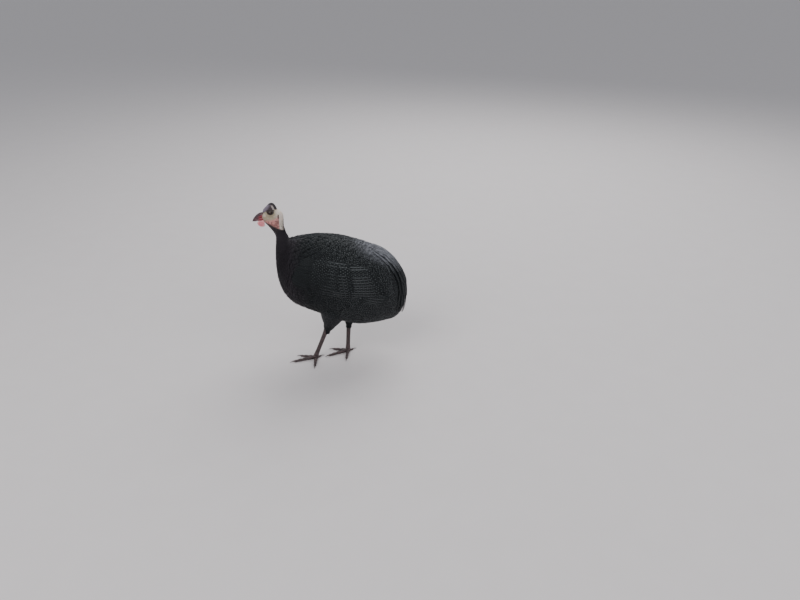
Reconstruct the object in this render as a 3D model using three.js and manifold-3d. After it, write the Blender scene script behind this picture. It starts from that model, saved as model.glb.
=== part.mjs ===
/**
 * Helmeted guinea fowl, life size, in mid step: the left foot is forward, the right one under the body.
 * Millimetres, +Z up. The bird faces -X, its left side is at -Y, and it stands on FLOOR.
 * Flesh is lofted through named stations. A station gives a section's centre and half sizes.
 * Flight, covert and tail feathers are thin vanes that follow the plumage, placed by bearing
 * and pitch seen from HUB, a point inside the body, and rooted in the part that carries them.
 */
import * as THREE from "three";
import { mergeVertices } from "three/addons/utils/BufferGeometryUtils.js";
import Module from "manifold-3d";

const wasm = await Module();
wasm.setup();
const { Manifold, Mesh: SolidMesh } = wasm;

// Clearances and general sizes
const GAP = 0.35; // between two parts that touch
const FLOOR = -6; // level that the toes rest on, below the zero that heights are taken from
const HUB = new THREE.Vector3(10, 0, 205); // where the plumage's bearings are taken from
const EYE = { x: -157.5, y: 11.2, z: 396.5, radius: 5.6, lid: 1.1 };
const EAR = { x: -138.5, y: 14.2, z: 390, radius: 2.2, rim: 0.8 };
const FOLDS = [ // cheek, and the fold behind the corner of the mouth
  { x: -150, y: 11.5, z: 376, long: 10, wide: 3.6, high: 5.5 },
  { x: -171, y: 7.6, z: 377, long: 5, wide: 2.6, high: 2.6 },
];
const NOSTRIL = { x: -180.5, y: 6.2, z: 389.5, long: 2.4, high: 1 };
const CLAW_LENGTH = 12;
const TOE_FLAT = 0.22; // share of a toe's radius that the floor flattens

// Outline of the plumage from breast to tail: centre height, half width, reach up and down
const PLUMAGE = [
  { x: -158, z: 240, w: 0, up: 0, down: 0 },
  { x: -152, z: 242, w: 32, up: 44, down: 46 },
  { x: -137, z: 240, w: 52, up: 62, down: 67 },
  { x: -116, z: 240, w: 70, up: 80, down: 89 },
  { x: -88, z: 236, w: 82, up: 97, down: 99 },
  { x: -48, z: 226, w: 90, up: 110, down: 107 },
  { x: 0, z: 214, w: 94, up: 118, down: 117 },
  { x: 42, z: 204, w: 92, up: 116, down: 118 },
  { x: 82, z: 197, w: 85, up: 108, down: 110 },
  { x: 112, z: 191, w: 76, up: 97, down: 100 },
  { x: 137, z: 184, w: 60, up: 80, down: 88 },
  { x: 155, z: 178, w: 41, up: 58, down: 69 },
  { x: 165, z: 176, w: 24, up: 36, down: 44 },
  { x: 169, z: 176, w: 0, up: 0, down: 0 },
];
const COAT_DEPTH = 3; // from the outline down to the body that the feathers are set on

// Neck, from inside the breast to inside the head
const NECK = [
  { x: -112, z: 262, r: 0 },
  { x: -116, z: 274, r: 36 },
  { x: -124, z: 295, r: 27 },
  { x: -133, z: 318, r: 17 },
  { x: -138, z: 338, r: 12.6 },
  { x: -143, z: 355, r: 13.4 },
  { x: -148, z: 372, r: 13 },
  { x: -149, z: 384, r: 0 },
];

// Head, from nape to the root of the bill
const HEAD = [
  { x: -125.5, z: 379, w: 0, up: 0, down: 0 },
  { x: -128, z: 379, w: 8, up: 12, down: 15 },
  { x: -137, z: 382, w: 13, up: 17, down: 20 },
  { x: -149, z: 385, w: 14.4, up: 18.5, down: 20 },
  { x: -160, z: 387, w: 13.4, up: 16.5, down: 17.5 },
  { x: -169, z: 387, w: 10.6, up: 13, down: 13.5 },
  { x: -175.5, z: 386.5, w: 7.6, up: 9, down: 9.5 },
  { x: -178.5, z: 386.5, w: 0, up: 0, down: 0 },
];

// Bony helmet, from inside the skull to its tip: half length along the head, half width across
const CASQUE = [
  { x: -157, z: 392, a: 0, w: 0 },
  { x: -158, z: 396, a: 17.5, w: 6.4 },
  { x: -157, z: 403, a: 15.6, w: 5.2 },
  { x: -155.3, z: 409, a: 11.8, w: 4 },
  { x: -154, z: 414, a: 7.6, w: 3 },
  { x: -153.8, z: 418.3, a: 0, w: 0 },
];

// Bill, from its root to its tip
const UPPER_BILL = [
  { x: -170, z: 387, w: 0, up: 0, down: 0 },
  { x: -172, z: 387, w: 7.4, up: 7.4, down: 4.6 },
  { x: -181, z: 386.6, w: 6.4, up: 7.9, down: 4.4 },
  { x: -189, z: 384, w: 4.6, up: 6.6, down: 4.6 },
  { x: -195.5, z: 379.8, w: 3.2, up: 4.6, down: 4.4 },
  { x: -199.6, z: 376, w: 1.9, up: 2.8, down: 3.4 },
  { x: -201.8, z: 373.4, w: 0, up: 0, down: 0 },
];
const LOWER_BILL = [
  { x: -168, z: 380, w: 0, up: 0, down: 0 },
  { x: -171, z: 380, w: 6.2, up: 3, down: 4 },
  { x: -181, z: 379, w: 5.2, up: 2.8, down: 3.6 },
  { x: -189, z: 376.6, w: 3.4, up: 3, down: 2.4 },
  { x: -194.5, z: 374.4, w: 1.8, up: 1.8, down: 1.2 },
  { x: -196.5, z: 373.6, w: 0, up: 0, down: 0 },
];

// Legs: feathered thigh, bare shank, and where each foot stands. Side is -1 for the left.
const LEGS = {
  left: {
    side: -1,
    thigh: [
      { x: -14, y: -36, z: 172, r: 0 },
      { x: -16, y: -34, z: 152, r: 40 },
      { x: -24, y: -27, z: 119, r: 27 },
      { x: -29.5, y: -20, z: 97, r: 17 },
      { x: -34.5, y: -16, z: 82, r: 12 },
      { x: -37.5, y: -15.5, z: 71, r: 0 },
    ],
    hock: { x: -38, y: -16, z: 79 },
    pad: { x: -71, y: -22, z: 1 },
    toes: [
      { heading: 194, length: 57, r: 5 },
      { heading: 266, length: 41, r: 4.4 },
      { heading: 162, length: 41, r: 4.3 },
      { heading: 32, length: 14, r: 3.6 },
    ],
  },
  right: {
    side: 1,
    thigh: [
      { x: 24, y: 34, z: 172, r: 0 },
      { x: 24, y: 33, z: 150, r: 38 },
      { x: 21, y: 26, z: 116, r: 25 },
      { x: 22, y: 19, z: 94, r: 14.5 },
      { x: 20, y: 15, z: 79, r: 10.5 },
      { x: 19, y: 14.6, z: 69, r: 0 },
    ],
    hock: { x: 19, y: 15, z: 76 },
    pad: { x: 14, y: 5, z: 1 },
    toes: [
      { heading: 202, length: 54, r: 5 },
      { heading: 162, length: 41, r: 4.3 },
      { heading: 262, length: 40, r: 4.4 },
      { heading: 30, length: 15, r: 3.6 },
    ],
  },
};
const SHANK_RADIUS = 6;
// Place from hock to foot, and size beside the radius, down the shank
const SHANK = [[-0.16, 0], [-0.08, 1], [0.05, 1.15], [0.3, 0.92], [0.7, 0.9], [0.96, 1.05], [1.05, 0]];

// Tiers of the folded wing. Bearing 0 is the tail's side, 180 the breast's; pitch is up from level.
// A tier runs from its uppermost feather (first) to its lowest one (last).
const WING_TIERS = [
  {
    name: "secondaries", count: 7, width: 15.5, lift: [2.2, 3.6], steps: 4,
    root: [{ bearing: 92, pitch: 45 }, { bearing: 96, pitch: 8 }],
    tip: [{ bearing: 48, pitch: 38 }, { bearing: 36, pitch: -3 }],
  },
  {
    name: "primaries", count: 3, width: 11, lift: [1.9, 2.4], steps: 3,
    root: [{ bearing: 64, pitch: -1 }, { bearing: 70, pitch: -8 }],
    tip: [{ bearing: 33, pitch: -8 }, { bearing: 36, pitch: -16 }],
  },
  {
    name: "greater coverts", count: 7, width: 15.5, lift: [2.2, 5.1], steps: 3,
    root: [{ bearing: 116, pitch: 47 }, { bearing: 121, pitch: 12 }],
    tip: [{ bearing: 83, pitch: 47 }, { bearing: 79, pitch: 5 }],
  },
  {
    name: "median coverts", count: 6, width: 16.5, lift: [2.2, 6.1], steps: 3,
    root: [{ bearing: 136, pitch: 43 }, { bearing: 139, pitch: 17 }],
    tip: [{ bearing: 108, pitch: 48 }, { bearing: 106, pitch: 10 }],
  },
];
const WING_PATCH = {
  front: 150, back: 60, steps: 9, rows: 5, depth: 5, high: 1.5,
  top: [39, 49, 51, 46], // pitch of the upper edge, from the shoulder to the rear
  bottom: [17, 6, 0, -11],
};

// Tiers of the tail. A tier runs across, from the left feather to the right one.
const TAIL_TIERS = [
  {
    name: "rectrices", count: 9, width: 18, lift: [2, 3.4], steps: 4,
    spread: [15, 21], root: 14, tip: -31,
  },
  {
    name: "lower coverts", count: 7, width: 20, lift: [2.2, 5.1], steps: 3,
    spread: [14, 19], root: 29, tip: -8,
  },
  {
    name: "upper coverts", count: 7, width: 20, lift: [2.2, 5.6], steps: 3,
    spread: [15, 20], root: 43, tip: 12,
  },
];
const TAIL_PATCH = { half: 19, top: 46, bottom: 8, steps: 6, rows: 4, depth: 5, high: 1.5 };
// A feather's thickness, height of its middle, tilt of its edges, root width, tip width and root depth
const VANE = { thick: 0.7, arch: 0.3, tilt: 0.8, stem: 0.7, blunt: 0.42, sunk: 1.6 };

const radians = THREE.MathUtils.degToRad;
const mix = THREE.MathUtils.lerp;

/** Sizes of a chain of stations at t, 0 to 1, by a Catmull-Rom curve; radii are blended as squares. */
function stationAt(stations, t) {
  const last = stations.length - 1;
  const along = THREE.MathUtils.clamp(t, 0, 1) * last;
  const i = Math.min(Math.floor(along), last - 1);
  const f = along - i;
  const near = [i - 1, i, i + 1, i + 2].map((k) => stations[THREE.MathUtils.clamp(k, 0, last)]);
  const made = {};
  for (const key of Object.keys(stations[0])) {
    const place = key === "x" || key === "y" || key === "z";
    const [a, b, c, d] = near.map((station) => (place ? station[key] : station[key] ** 2));
    const value =
      b + 0.5 * f * (c - a + f * (2 * a - 5 * b + 4 * c - d + f * (3 * (b - c) + d - a)));
    made[key] = place ? value : Math.sqrt(Math.max(value, 0));
  }
  return made;
}

/** Closed mesh from rings of points, each as long as the others, with a point at each end. */
function closedRings(rings, first, last) {
  const sides = rings[0].length;
  const points = [first, ...rings.flat(), last];
  const index = [];
  for (let j = 0; j < sides; j += 1) {
    const k = (j + 1) % sides;
    index.push(0, 1 + k, 1 + j);
    for (let i = 0; i + 1 < rings.length; i += 1) {
      const a = 1 + i * sides;
      const b = a + sides;
      index.push(a + j, a + k, b + k, a + j, b + k, b + j);
    }
    const end = 1 + (rings.length - 1) * sides;
    index.push(points.length - 1, end + j, end + k);
  }
  return solidOf(points, index);
}

/** Manifold solid of points and triangles, turned to face out if it faces in. */
function solidOf(points, index) {
  const vertProperties = new Float32Array(points.flatMap((p) => [p.x, p.y, p.z]));
  let volume = 0;
  for (let i = 0; i < index.length; i += 3) {
    const [a, b, c] = [points[index[i]], points[index[i + 1]], points[index[i + 2]]];
    volume += a.dot(new THREE.Vector3().crossVectors(b, c));
  }
  const order = volume > 0 ? index : index.slice().reverse();
  return new Manifold(new SolidMesh({ numProp: 3, vertProperties, triVerts: new Uint32Array(order) }));
}

/** Solid of a three.js geometry, with its shared vertices merged. */
function solidFrom(geometry) {
  const bare = geometry.clone();
  bare.deleteAttribute("normal");
  bare.deleteAttribute("uv");
  const joined = mergeVertices(bare, 1e-4);
  const place = joined.getAttribute("position");
  const points = [];
  for (let i = 0; i < place.count; i += 1) points.push(new THREE.Vector3().fromBufferAttribute(place, i));
  return solidOf(points, Array.from(joined.index.array));
}

/** Flesh whose sections stand across X, made `grow` larger all round. */
function flesh(stations, rings, sides, grow = 0) {
  const made = [];
  const [first, last] = [stations[0], stations[stations.length - 1]];
  const [middle, half] = [(first.x + last.x) / 2, Math.abs(last.x - first.x) / 2];
  const place = (x) => x + (grow * (x - middle)) / half;
  for (let i = 1; i < rings; i += 1) {
    const s = stationAt(stations, (1 - Math.cos((Math.PI * i) / rings)) / 2);
    const ring = [];
    for (let j = 0; j < sides; j += 1) {
      const angle = (2 * Math.PI * j) / sides;
      const high = Math.sin(angle) > 0 ? s.up : s.down;
      const [y, z] = [(s.w + grow) * Math.cos(angle), s.z + (high + grow) * Math.sin(angle)];
      ring.push(new THREE.Vector3(place(s.x), y, z));
    }
    made.push(ring);
  }
  return closedRings(
    made,
    new THREE.Vector3(place(first.x), 0, first.z),
    new THREE.Vector3(place(last.x), 0, last.z),
  );
}

/** Round limb along its stations' centres, made `grow` larger all round. */
function limb(stations, rings, sides, grow = 0) {
  const centre = (s) => new THREE.Vector3(s.x, s.y ?? 0, s.z);
  const [first, last] = [stations[0], stations[stations.length - 1]].map(centre);
  const reach = last.clone().sub(first).normalize().multiplyScalar(grow);
  const made = [];
  for (let i = 1; i < rings; i += 1) {
    const t = (1 - Math.cos((Math.PI * i) / rings)) / 2;
    const s = stationAt(stations, t);
    const ahead = centre(stationAt(stations, t + 0.02)).sub(centre(stationAt(stations, t - 0.02)));
    const side = new THREE.Vector3(0, 1, 0).addScaledVector(ahead, -ahead.y / ahead.lengthSq()).normalize();
    const over = new THREE.Vector3().crossVectors(ahead, side).normalize();
    const ring = [];
    for (let j = 0; j < sides; j += 1) {
      const angle = (2 * Math.PI * j) / sides;
      ring.push(
        centre(s)
          .addScaledVector(reach, 2 * t - 1)
          .addScaledVector(side, (s.r + grow) * Math.cos(angle))
          .addScaledVector(over, (s.r + grow) * Math.sin(angle)),
      );
    }
    made.push(ring);
  }
  return closedRings(made, first.sub(reach), last.add(reach));
}

// Body below the feathers: the outline drawn in by the coat's depth
const SPAN = [PLUMAGE[0].x, PLUMAGE[PLUMAGE.length - 1].x];
const drawnIn = (size) => 1 - COAT_DEPTH / size;
const BODY = PLUMAGE.map((s) => ({
  x: mix((SPAN[0] + SPAN[1]) / 2, s.x, drawnIn((SPAN[1] - SPAN[0]) / 2)),
  z: s.z,
  w: s.w * drawnIn(92),
  up: s.up * drawnIn(112),
  down: s.down * drawnIn(110),
}));
const body = (grow) => flesh(BODY, 24, 26, grow);

const BODY_TABLE = Array.from({ length: 401 }, (_, i) => stationAt(BODY, i / 400));

/** Section of the body at a given x, from the table. */
function sectionAt(x) {
  let [low, high] = [0, BODY_TABLE.length - 1];
  while (high - low > 1) {
    const middle = (low + high) >> 1;
    if (BODY_TABLE[middle].x < x) low = middle;
    else high = middle;
  }
  const f = (x - BODY_TABLE[low].x) / (BODY_TABLE[high].x - BODY_TABLE[low].x || 1);
  const s = {};
  for (const key of Object.keys(BODY_TABLE[low])) {
    s[key] = mix(BODY_TABLE[low][key], BODY_TABLE[high][key], f);
  }
  return s;
}

function insideBody(p) {
  if (p.x <= BODY[0].x || p.x >= BODY[BODY.length - 1].x) return false;
  const s = sectionAt(p.x);
  const high = p.z > s.z ? s.up : s.down;
  return (p.y / s.w) ** 2 + ((p.z - s.z) / high) ** 2 < 1;
}

/** Point above the body at a bearing and pitch from HUB, `height` out along the ray, found by halving. */
function coatPoint(bearing, pitch, height, side = -1) {
  const [b, p] = [radians(bearing), radians(pitch)];
  const ray = new THREE.Vector3(
    Math.cos(p) * Math.cos(b),
    side * Math.cos(p) * Math.sin(b),
    Math.sin(p),
  );
  let [near, far] = [0, 260];
  for (let i = 0; i < 26; i += 1) {
    const middle = (near + far) / 2;
    if (insideBody(HUB.clone().addScaledVector(ray, middle))) near = middle;
    else far = middle;
  }
  return HUB.clone().addScaledVector(ray, near + height);
}

/** Closed thin form on a grid: face(u, v, 1) is its outer side and face(u, v, 0) its inner side. */
function slab(steps, rows, face) {
  const points = [];
  for (const outer of [1, 0]) {
    for (let i = 0; i <= steps; i += 1) {
      for (let j = 0; j <= rows; j += 1) points.push(face(i / steps, j / rows, outer));
    }
  }
  const at = (i, j, layer) => layer * (steps + 1) * (rows + 1) + i * (rows + 1) + j;
  const index = [];
  const quad = (a, b, c, d) => index.push(a, b, c, a, c, d);
  for (let i = 0; i < steps; i += 1) {
    for (let j = 0; j < rows; j += 1) {
      index.push(at(i, j, 0), at(i + 1, j, 0), at(i + 1, j + 1, 0));
      index.push(at(i, j, 0), at(i + 1, j + 1, 0), at(i, j + 1, 0));
      index.push(at(i, j, 1), at(i + 1, j + 1, 1), at(i + 1, j, 1));
      index.push(at(i, j, 1), at(i, j + 1, 1), at(i + 1, j + 1, 1));
    }
    quad(at(i, 0, 0), at(i, 0, 1), at(i + 1, 0, 1), at(i + 1, 0, 0));
    quad(at(i, rows, 0), at(i + 1, rows, 0), at(i + 1, rows, 1), at(i, rows, 1));
  }
  for (let j = 0; j < rows; j += 1) {
    quad(at(0, j, 0), at(0, j + 1, 0), at(0, j + 1, 1), at(0, j, 1));
    quad(at(steps, j, 0), at(steps, j, 1), at(steps, j + 1, 1), at(steps, j + 1, 0));
  }
  return solidOf(points, index);
}

/** Half width of a feather along its length: a narrow root, full for most of it, a rounded tip. */
function vaneWidth(s) {
  const swell = mix(VANE.stem, 1, Math.min(1, s / 0.35));
  const rounding = Math.sqrt(Math.max(0, 1 - (Math.max(0, s - 0.62) / 0.44) ** 2));
  return swell * Math.max(VANE.blunt, rounding);
}

/**
 * One feather over the plumage, from root to tip. Its middle stands a little above its edges,
 * and `tilt` raises the edge that lies over the next feather and lowers the other.
 */
function vane({ root, tip, width, lift, tilt, steps, side }) {
  const at = (bearing, pitch, height) => coatPoint(bearing, pitch, height, side);
  const length = at(root.bearing, root.pitch, 0).distanceTo(at(tip.bearing, tip.pitch, 0));
  const across = { bearing: -(tip.pitch - root.pitch), pitch: tip.bearing - root.bearing };
  const reach = Math.hypot(across.bearing, across.pitch);
  const degree = reach / length; // degrees for each millimetre along the feather
  return slab(steps, 2, (u, v, outer) => {
    const tail = u === 1 && v === 0.5 ? 1.05 : u;
    const off = (v - 0.5) * width * vaneWidth(u) * degree;
    const bearing = mix(root.bearing, tip.bearing, tail) + (off * across.bearing) / reach;
    const pitch = mix(root.pitch, tip.pitch, tail) + (off * across.pitch) / reach;
    const arch = VANE.arch * (1 - Math.abs(2 * v - 1));
    const lean = tilt * VANE.tilt * (2 * v - 1);
    const rise = u === 0 ? -VANE.sunk : mix(lift[0], lift[1], u) + arch + lean;
    return at(bearing, pitch, rise + (outer ? VANE.thick : 0));
  });
}

/** Value along a short list of equally spaced numbers. */
function along(values, t) {
  const place = t * (values.length - 1);
  const i = Math.min(Math.floor(place), values.length - 2);
  return mix(values[i], values[i + 1], place - i);
}

/** The largest closed surface of a solid, as a geometry. */
function largestShell(solid) {
  const { vertProperties, triVerts, numProp } = solid.getMesh();
  const group = Array.from({ length: vertProperties.length / numProp }, (_, i) => i);
  const find = (i) => {
    let k = i;
    while (group[k] !== k) {
      group[k] = group[group[k]];
      k = group[k];
    }
    return k;
  };
  for (let i = 0; i < triVerts.length; i += 3) {
    group[find(triVerts[i + 1])] = find(triVerts[i]);
    group[find(triVerts[i + 2])] = find(triVerts[i]);
  }
  const vertex = (i) => new THREE.Vector3().fromArray(vertProperties, i * numProp);
  const shells = new Map();
  for (let i = 0; i < triVerts.length; i += 3) {
    const corners = [triVerts[i], triVerts[i + 1], triVerts[i + 2]];
    const key = find(corners[0]);
    const shell = shells.get(key) ?? { volume: 0, corners: [] };
    const [a, b, c] = corners.map(vertex);
    shell.volume += a.dot(b.cross(c));
    shell.corners.push(...corners);
    shells.set(key, shell);
  }
  const best = [...shells.values()].sort((one, two) => two.volume - one.volume)[0];
  const geometry = new THREE.BufferGeometry();
  const positions = Float32Array.from(best.corners.flatMap((i) => vertex(i).toArray()));
  geometry.setAttribute("position", new THREE.BufferAttribute(positions, 3));
  const merged = mergeVertices(geometry, 1e-4);
  merged.computeVertexNormals();
  return merged;
}

const bird = new THREE.Group();
const FINISHES = {
  plumage: { color: 0x1e2426, roughness: 0.75 },
  skin: { color: 0xb9bfae, roughness: 0.6 },
  neck: { color: 0x232126, roughness: 0.8 },
  red: { color: 0xa8434a, roughness: 0.5 },
  horn: { color: 0x4a302c, roughness: 0.5 },
  eye: { color: 0x17100e, roughness: 0.1 },
  scale: { color: 0x3f2a26, roughness: 0.6 },
  claw: { color: 0x2a1f1d, roughness: 0.4 },
};

function add(name, solid, finish) {
  const material = new THREE.MeshStandardMaterial({ ...FINISHES[finish], metalness: 0 });
  const mesh = new THREE.Mesh(largestShell(solid.simplify(0.01)), material);
  mesh.name = name;
  bird.add(mesh);
}

/** All solids of a list joined into one. */
const join = (solids) => solids.reduce((whole, piece) => whole.add(piece));

/** Ball stretched along the axes. */
function ball(x, y, z, rx, ry, rz, detail = 8) {
  const geometry = new THREE.SphereGeometry(1, 2 * detail, detail);
  geometry.scale(rx, ry, rz).translate(x, y, z);
  return solidFrom(geometry);
}

/** Ring round a hole in the side of the head, facing out along Y. */
function ring(x, y, z, radius, thick, squash) {
  const geometry = new THREE.TorusGeometry(radius, thick, 5, 14);
  geometry.scale(1, squash, 1).rotateX(Math.PI / 2).translate(x, y, z);
  return solidFrom(geometry);
}

/** Skull with its lids, ear rims, cheeks and mouth folds, `grow` larger all round. */
function headForm(grow) {
  const pieces = [flesh(HEAD, 14, 18, grow)];
  for (const side of [-1, 1]) {
    pieces.push(ring(EYE.x, side * (EYE.y + 1.7), EYE.z, EYE.radius - 0.4, EYE.lid + grow, 0.86));
    pieces.push(ring(EAR.x, side * (EAR.y - 2), EAR.z, EAR.radius + 0.5, EAR.rim + grow, 1.25));
    for (const { x, y, z, long, wide, high } of FOLDS) {
      pieces.push(ball(x, side * y, z, long + grow, wide + grow, high + grow, 5));
    }
  }
  return join(pieces);
}

/** Both mandibles as one form, `grow` larger all round. */
const billForm = (grow) => flesh(UPPER_BILL, 12, 14, grow).add(flesh(LOWER_BILL, 10, 12, grow));

/** Neck, cut to meet the breast below and the head above. */
function makeNeck() {
  add("neck", limb(NECK, 16, 16).subtract(body(GAP)).subtract(headForm(GAP)), "neck");
}

/** Wattle hung from the corner of the bill: a thick-rimmed fold that turns out and forward. */
function wattle(side) {
  const size = { long: 17, deep: 12, thin: 1.1, rim: 1.1, fold: 0.7 };
  return slab(8, 5, (u, v, outer) => {
    const open = Math.sin(Math.PI * THREE.MathUtils.clamp(0.06 + 0.94 * u, 0, 1)) ** 0.55;
    const down = v * size.deep * Math.max(open, 0.16);
    const edge = Math.max(Math.abs(2 * u - 1), v) ** 4;
    const half = size.thin + size.rim * edge * (v < 1 ? 1 : 0.6);
    const fold = size.fold * Math.sin(3 * Math.PI * u) * v;
    const out = 8.2 + 0.32 * down + fold + (outer ? half : -half);
    return new THREE.Vector3(-172 - u * size.long, side * out, 375.2 - 3.5 * u - down);
  });
}

/** Head with its eye sockets, ear openings and line of the mouth, cut to seat the bill. */
function makeHead() {
  let head = headForm(0);
  for (const side of [-1, 1]) {
    head = head.subtract(eyeball(side, GAP));
    head = head.subtract(ball(EAR.x, side * EAR.y, EAR.z, EAR.radius, 3.4, EAR.radius * 1.25, 5));
    head = head.subtract(ball(-171.5, side * 10, 382.6, 7, 3, 0.6, 5)); // line of the mouth
  }
  add("head", head.subtract(billForm(GAP)), "skin");
}

function eyeball(side, grow) {
  const r = EYE.radius + grow;
  return ball(EYE.x, side * (EYE.y - 2.6), EYE.z, r, r, r, 7);
}

function makeCasque() {
  const rings = [];
  const count = 11;
  for (let i = 1; i < count; i += 1) {
    const s = stationAt(CASQUE, (1 - Math.cos((Math.PI * i) / count)) / 2);
    rings.push(
      Array.from({ length: 16 }, (_, j) => {
        const angle = (2 * Math.PI * j) / 16;
        return new THREE.Vector3(s.x + s.a * Math.cos(angle), s.w * Math.sin(angle), s.z);
      }),
    );
  }
  const [low, high] = [CASQUE[0], CASQUE[CASQUE.length - 1]];
  const helmet = closedRings(
    rings,
    new THREE.Vector3(low.x, 0, low.z),
    new THREE.Vector3(high.x, 0, high.z),
  );
  add("casque", helmet.subtract(headForm(GAP)), "horn");
}

/** Both mandibles, parted by the line of the mouth, with a nostril on each side of the upper one. */
function makeBill() {
  const lower = flesh(LOWER_BILL, 10, 12);
  let upper = flesh(UPPER_BILL, 12, 14);
  for (const side of [-1, 1]) {
    upper = upper.subtract(
      ball(NOSTRIL.x, side * NOSTRIL.y, NOSTRIL.z, NOSTRIL.long, 2, NOSTRIL.high, 4),
    );
  }
  add("bill_upper", upper, "horn");
  add("bill_lower", lower.subtract(flesh(UPPER_BILL, 12, 14, 2 * GAP)), "horn");
}

function makeWattles() {
  const keep = billForm(GAP).add(headForm(GAP));
  for (const [name, side] of [["wattle_left", -1], ["wattle_right", 1]]) {
    add(name, wattle(side).subtract(keep), "red");
  }
}

/** Folded wing: a thin patch laid on the flank, and the tiers of feathers rooted in it. */
function makeWing(name, side) {
  const p = WING_PATCH;
  const patch = slab(p.steps, p.rows, (u, v, outer) => {
    const bearing = mix(p.front, p.back, u);
    const pitch = mix(along(p.top, u), along(p.bottom, u), v);
    return coatPoint(bearing, pitch, outer ? p.high : -p.depth, side);
  });
  const feathers = [];
  for (const tier of WING_TIERS) {
    for (let i = 0; i < tier.count; i += 1) {
      const f = i / (tier.count - 1);
      const between = (ends) => ({
        bearing: mix(ends[0].bearing, ends[1].bearing, f),
        pitch: mix(ends[0].pitch, ends[1].pitch, f),
      });
      feathers.push(vane({ ...tier, root: between(tier.root), tip: between(tier.tip), side, tilt: 1 }));
    }
  }
  add(name, join([patch, ...feathers]).subtract(body(GAP)), "plumage");
}

/** Tail: a thin patch over the rump, and the tiers of feathers that hang from it. */
function makeTail() {
  const p = TAIL_PATCH;
  const patch = slab(p.steps, p.rows, (u, v, outer) => {
    const bearing = mix(-p.half, p.half, u);
    return coatPoint(bearing, mix(p.top, p.bottom, v), outer ? p.high : -p.depth);
  });
  const feathers = [];
  for (const tier of TAIL_TIERS) {
    for (let i = 0; i < tier.count; i += 1) {
      const across = (2 * i) / (tier.count - 1) - 1;
      const over = across === 0 ? VANE.tilt : 0; // the middle feather lies over both neighbours
      feathers.push(
        vane({
          ...tier,
          root: { bearing: across * tier.spread[0], pitch: tier.root - 3 * across ** 2 },
          tip: { bearing: across * tier.spread[1], pitch: tier.tip + 6 * across ** 2 },
          lift: tier.lift.map((rise) => rise + over),
          tilt: Math.sign(across),
        }),
      );
    }
  }
  add("tail", join([patch, ...feathers]).subtract(body(GAP)), "plumage");
}

/** Toe along a heading, with a swelling at each joint, resting on the floor. */
function toe(pad, { heading, length, r }) {
  const ahead = new THREE.Vector3(Math.cos(radians(heading)), Math.sin(radians(heading)), 0);
  const joints = 4;
  const stations = [{ x: pad.x, y: pad.y, z: FLOOR + r, r: 0 }];
  for (let i = 0; i <= 2 * joints; i += 1) {
    const f = i / (2 * joints);
    const size = r * mix(1, 0.62, f) * (i % 2 === 0 ? 1.06 : 0.92);
    stations.push({
      x: pad.x + ahead.x * length * (0.04 + 0.94 * f),
      y: pad.y + ahead.y * length * (0.04 + 0.94 * f),
      z: FLOOR + size * (1 - TOE_FLAT),
      r: size,
    });
  }
  const tip = pad.clone().addScaledVector(ahead, length);
  stations.push({ x: tip.x, y: tip.y, z: FLOOR + 0.5 * r, r: 0 });
  return { stations, ahead, end: tip, r: r * 0.62 };
}

/** Claw that leaves a toe's end and curves down to the floor. */
function claw({ ahead, end, r }) {
  const at = (far, high, size) => ({
    x: end.x + ahead.x * far,
    y: end.y + ahead.y * far,
    z: FLOOR + high,
    r: size,
  });
  return [
    at(-3, r * 0.95, 0),
    at(-2, r * 0.95, r * 0.62),
    at(CLAW_LENGTH * 0.35, r * 1.05, r * 0.58),
    at(CLAW_LENGTH * 0.72, r * 0.72, r * 0.34),
    at(CLAW_LENGTH, 0.7, 0),
  ];
}

/** Leg: thigh, shank, foot with four toes, and a claw on each toe. */
function makeLeg(name, leg) {
  const pad = new THREE.Vector3(leg.pad.x, leg.pad.y, 0);
  const toes = leg.toes.map((spec) => toe(pad, spec));
  const shank = (grow) => {
    const at = ([f, size]) => ({
      x: mix(leg.hock.x, leg.pad.x, f),
      y: mix(leg.hock.y, leg.pad.y, f),
      z: mix(leg.hock.z, leg.pad.z, f),
      r: SHANK_RADIUS * size,
    });
    return limb(SHANK.map(at), 14, 10, grow);
  };
  const floor = solidFrom(new THREE.BoxGeometry(600, 400, 40).translate(0, 0, FLOOR - 20));
  const sole = ball(pad.x, pad.y, FLOOR + 4.4, 8, 7.4, 5.8, 5);
  const foot = join([sole, ...toes.map((each) => limb(each.stations, 10, 7))]).subtract(floor);
  const claws = toes.map((each) => limb(claw(each), 7, 6));
  const clawSpace = join(toes.map((each) => limb(claw(each), 7, 6, GAP)));
  const hockSpace = limb(leg.thigh, 12, 14, GAP);
  add(`thigh_${name}`, limb(leg.thigh, 12, 14).subtract(body(GAP)), "plumage");
  add(`shank_${name}`, shank(0).subtract(hockSpace), "scale");
  add(`foot_${name}`, foot.subtract(shank(GAP)).subtract(clawSpace), "scale");
  claws.forEach((each, i) => add(`claw_${name}_${i + 1}`, each.subtract(floor), "claw"));
}

add("torso", body(0), "plumage");
makeNeck();
makeHead();
makeCasque();
makeBill();
makeWattles();
add("eye_left", eyeball(-1, 0), "eye");
add("eye_right", eyeball(1, 0), "eye");
makeWing("wing_left", -1);
makeWing("wing_right", 1);
makeTail();
makeLeg("left", LEGS.left);
makeLeg("right", LEGS.right);

// The whole bird is centred over the origin, with its soles on z = 0
const box = new THREE.Box3().setFromObject(bird);
bird.position.set(-(box.min.x + box.max.x) / 2, -(box.min.y + box.max.y) / 2, -box.min.z);

export default bird;
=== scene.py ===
"""Looks of a still, life-size helmeted guinea fowl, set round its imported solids.

The flesh is one skin: a sweep of oval sections from the tail to the root of the bill.
The coat is thin closed feathers laid on it row by row, and larger vanes make up the
folded wings and the tail. Drawing sizes are in millimetres and become metres in MM.
"""

import logging
from dataclasses import dataclass
from enum import Enum

import bpy
import numpy as np
from mathutils import Matrix, Vector


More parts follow.
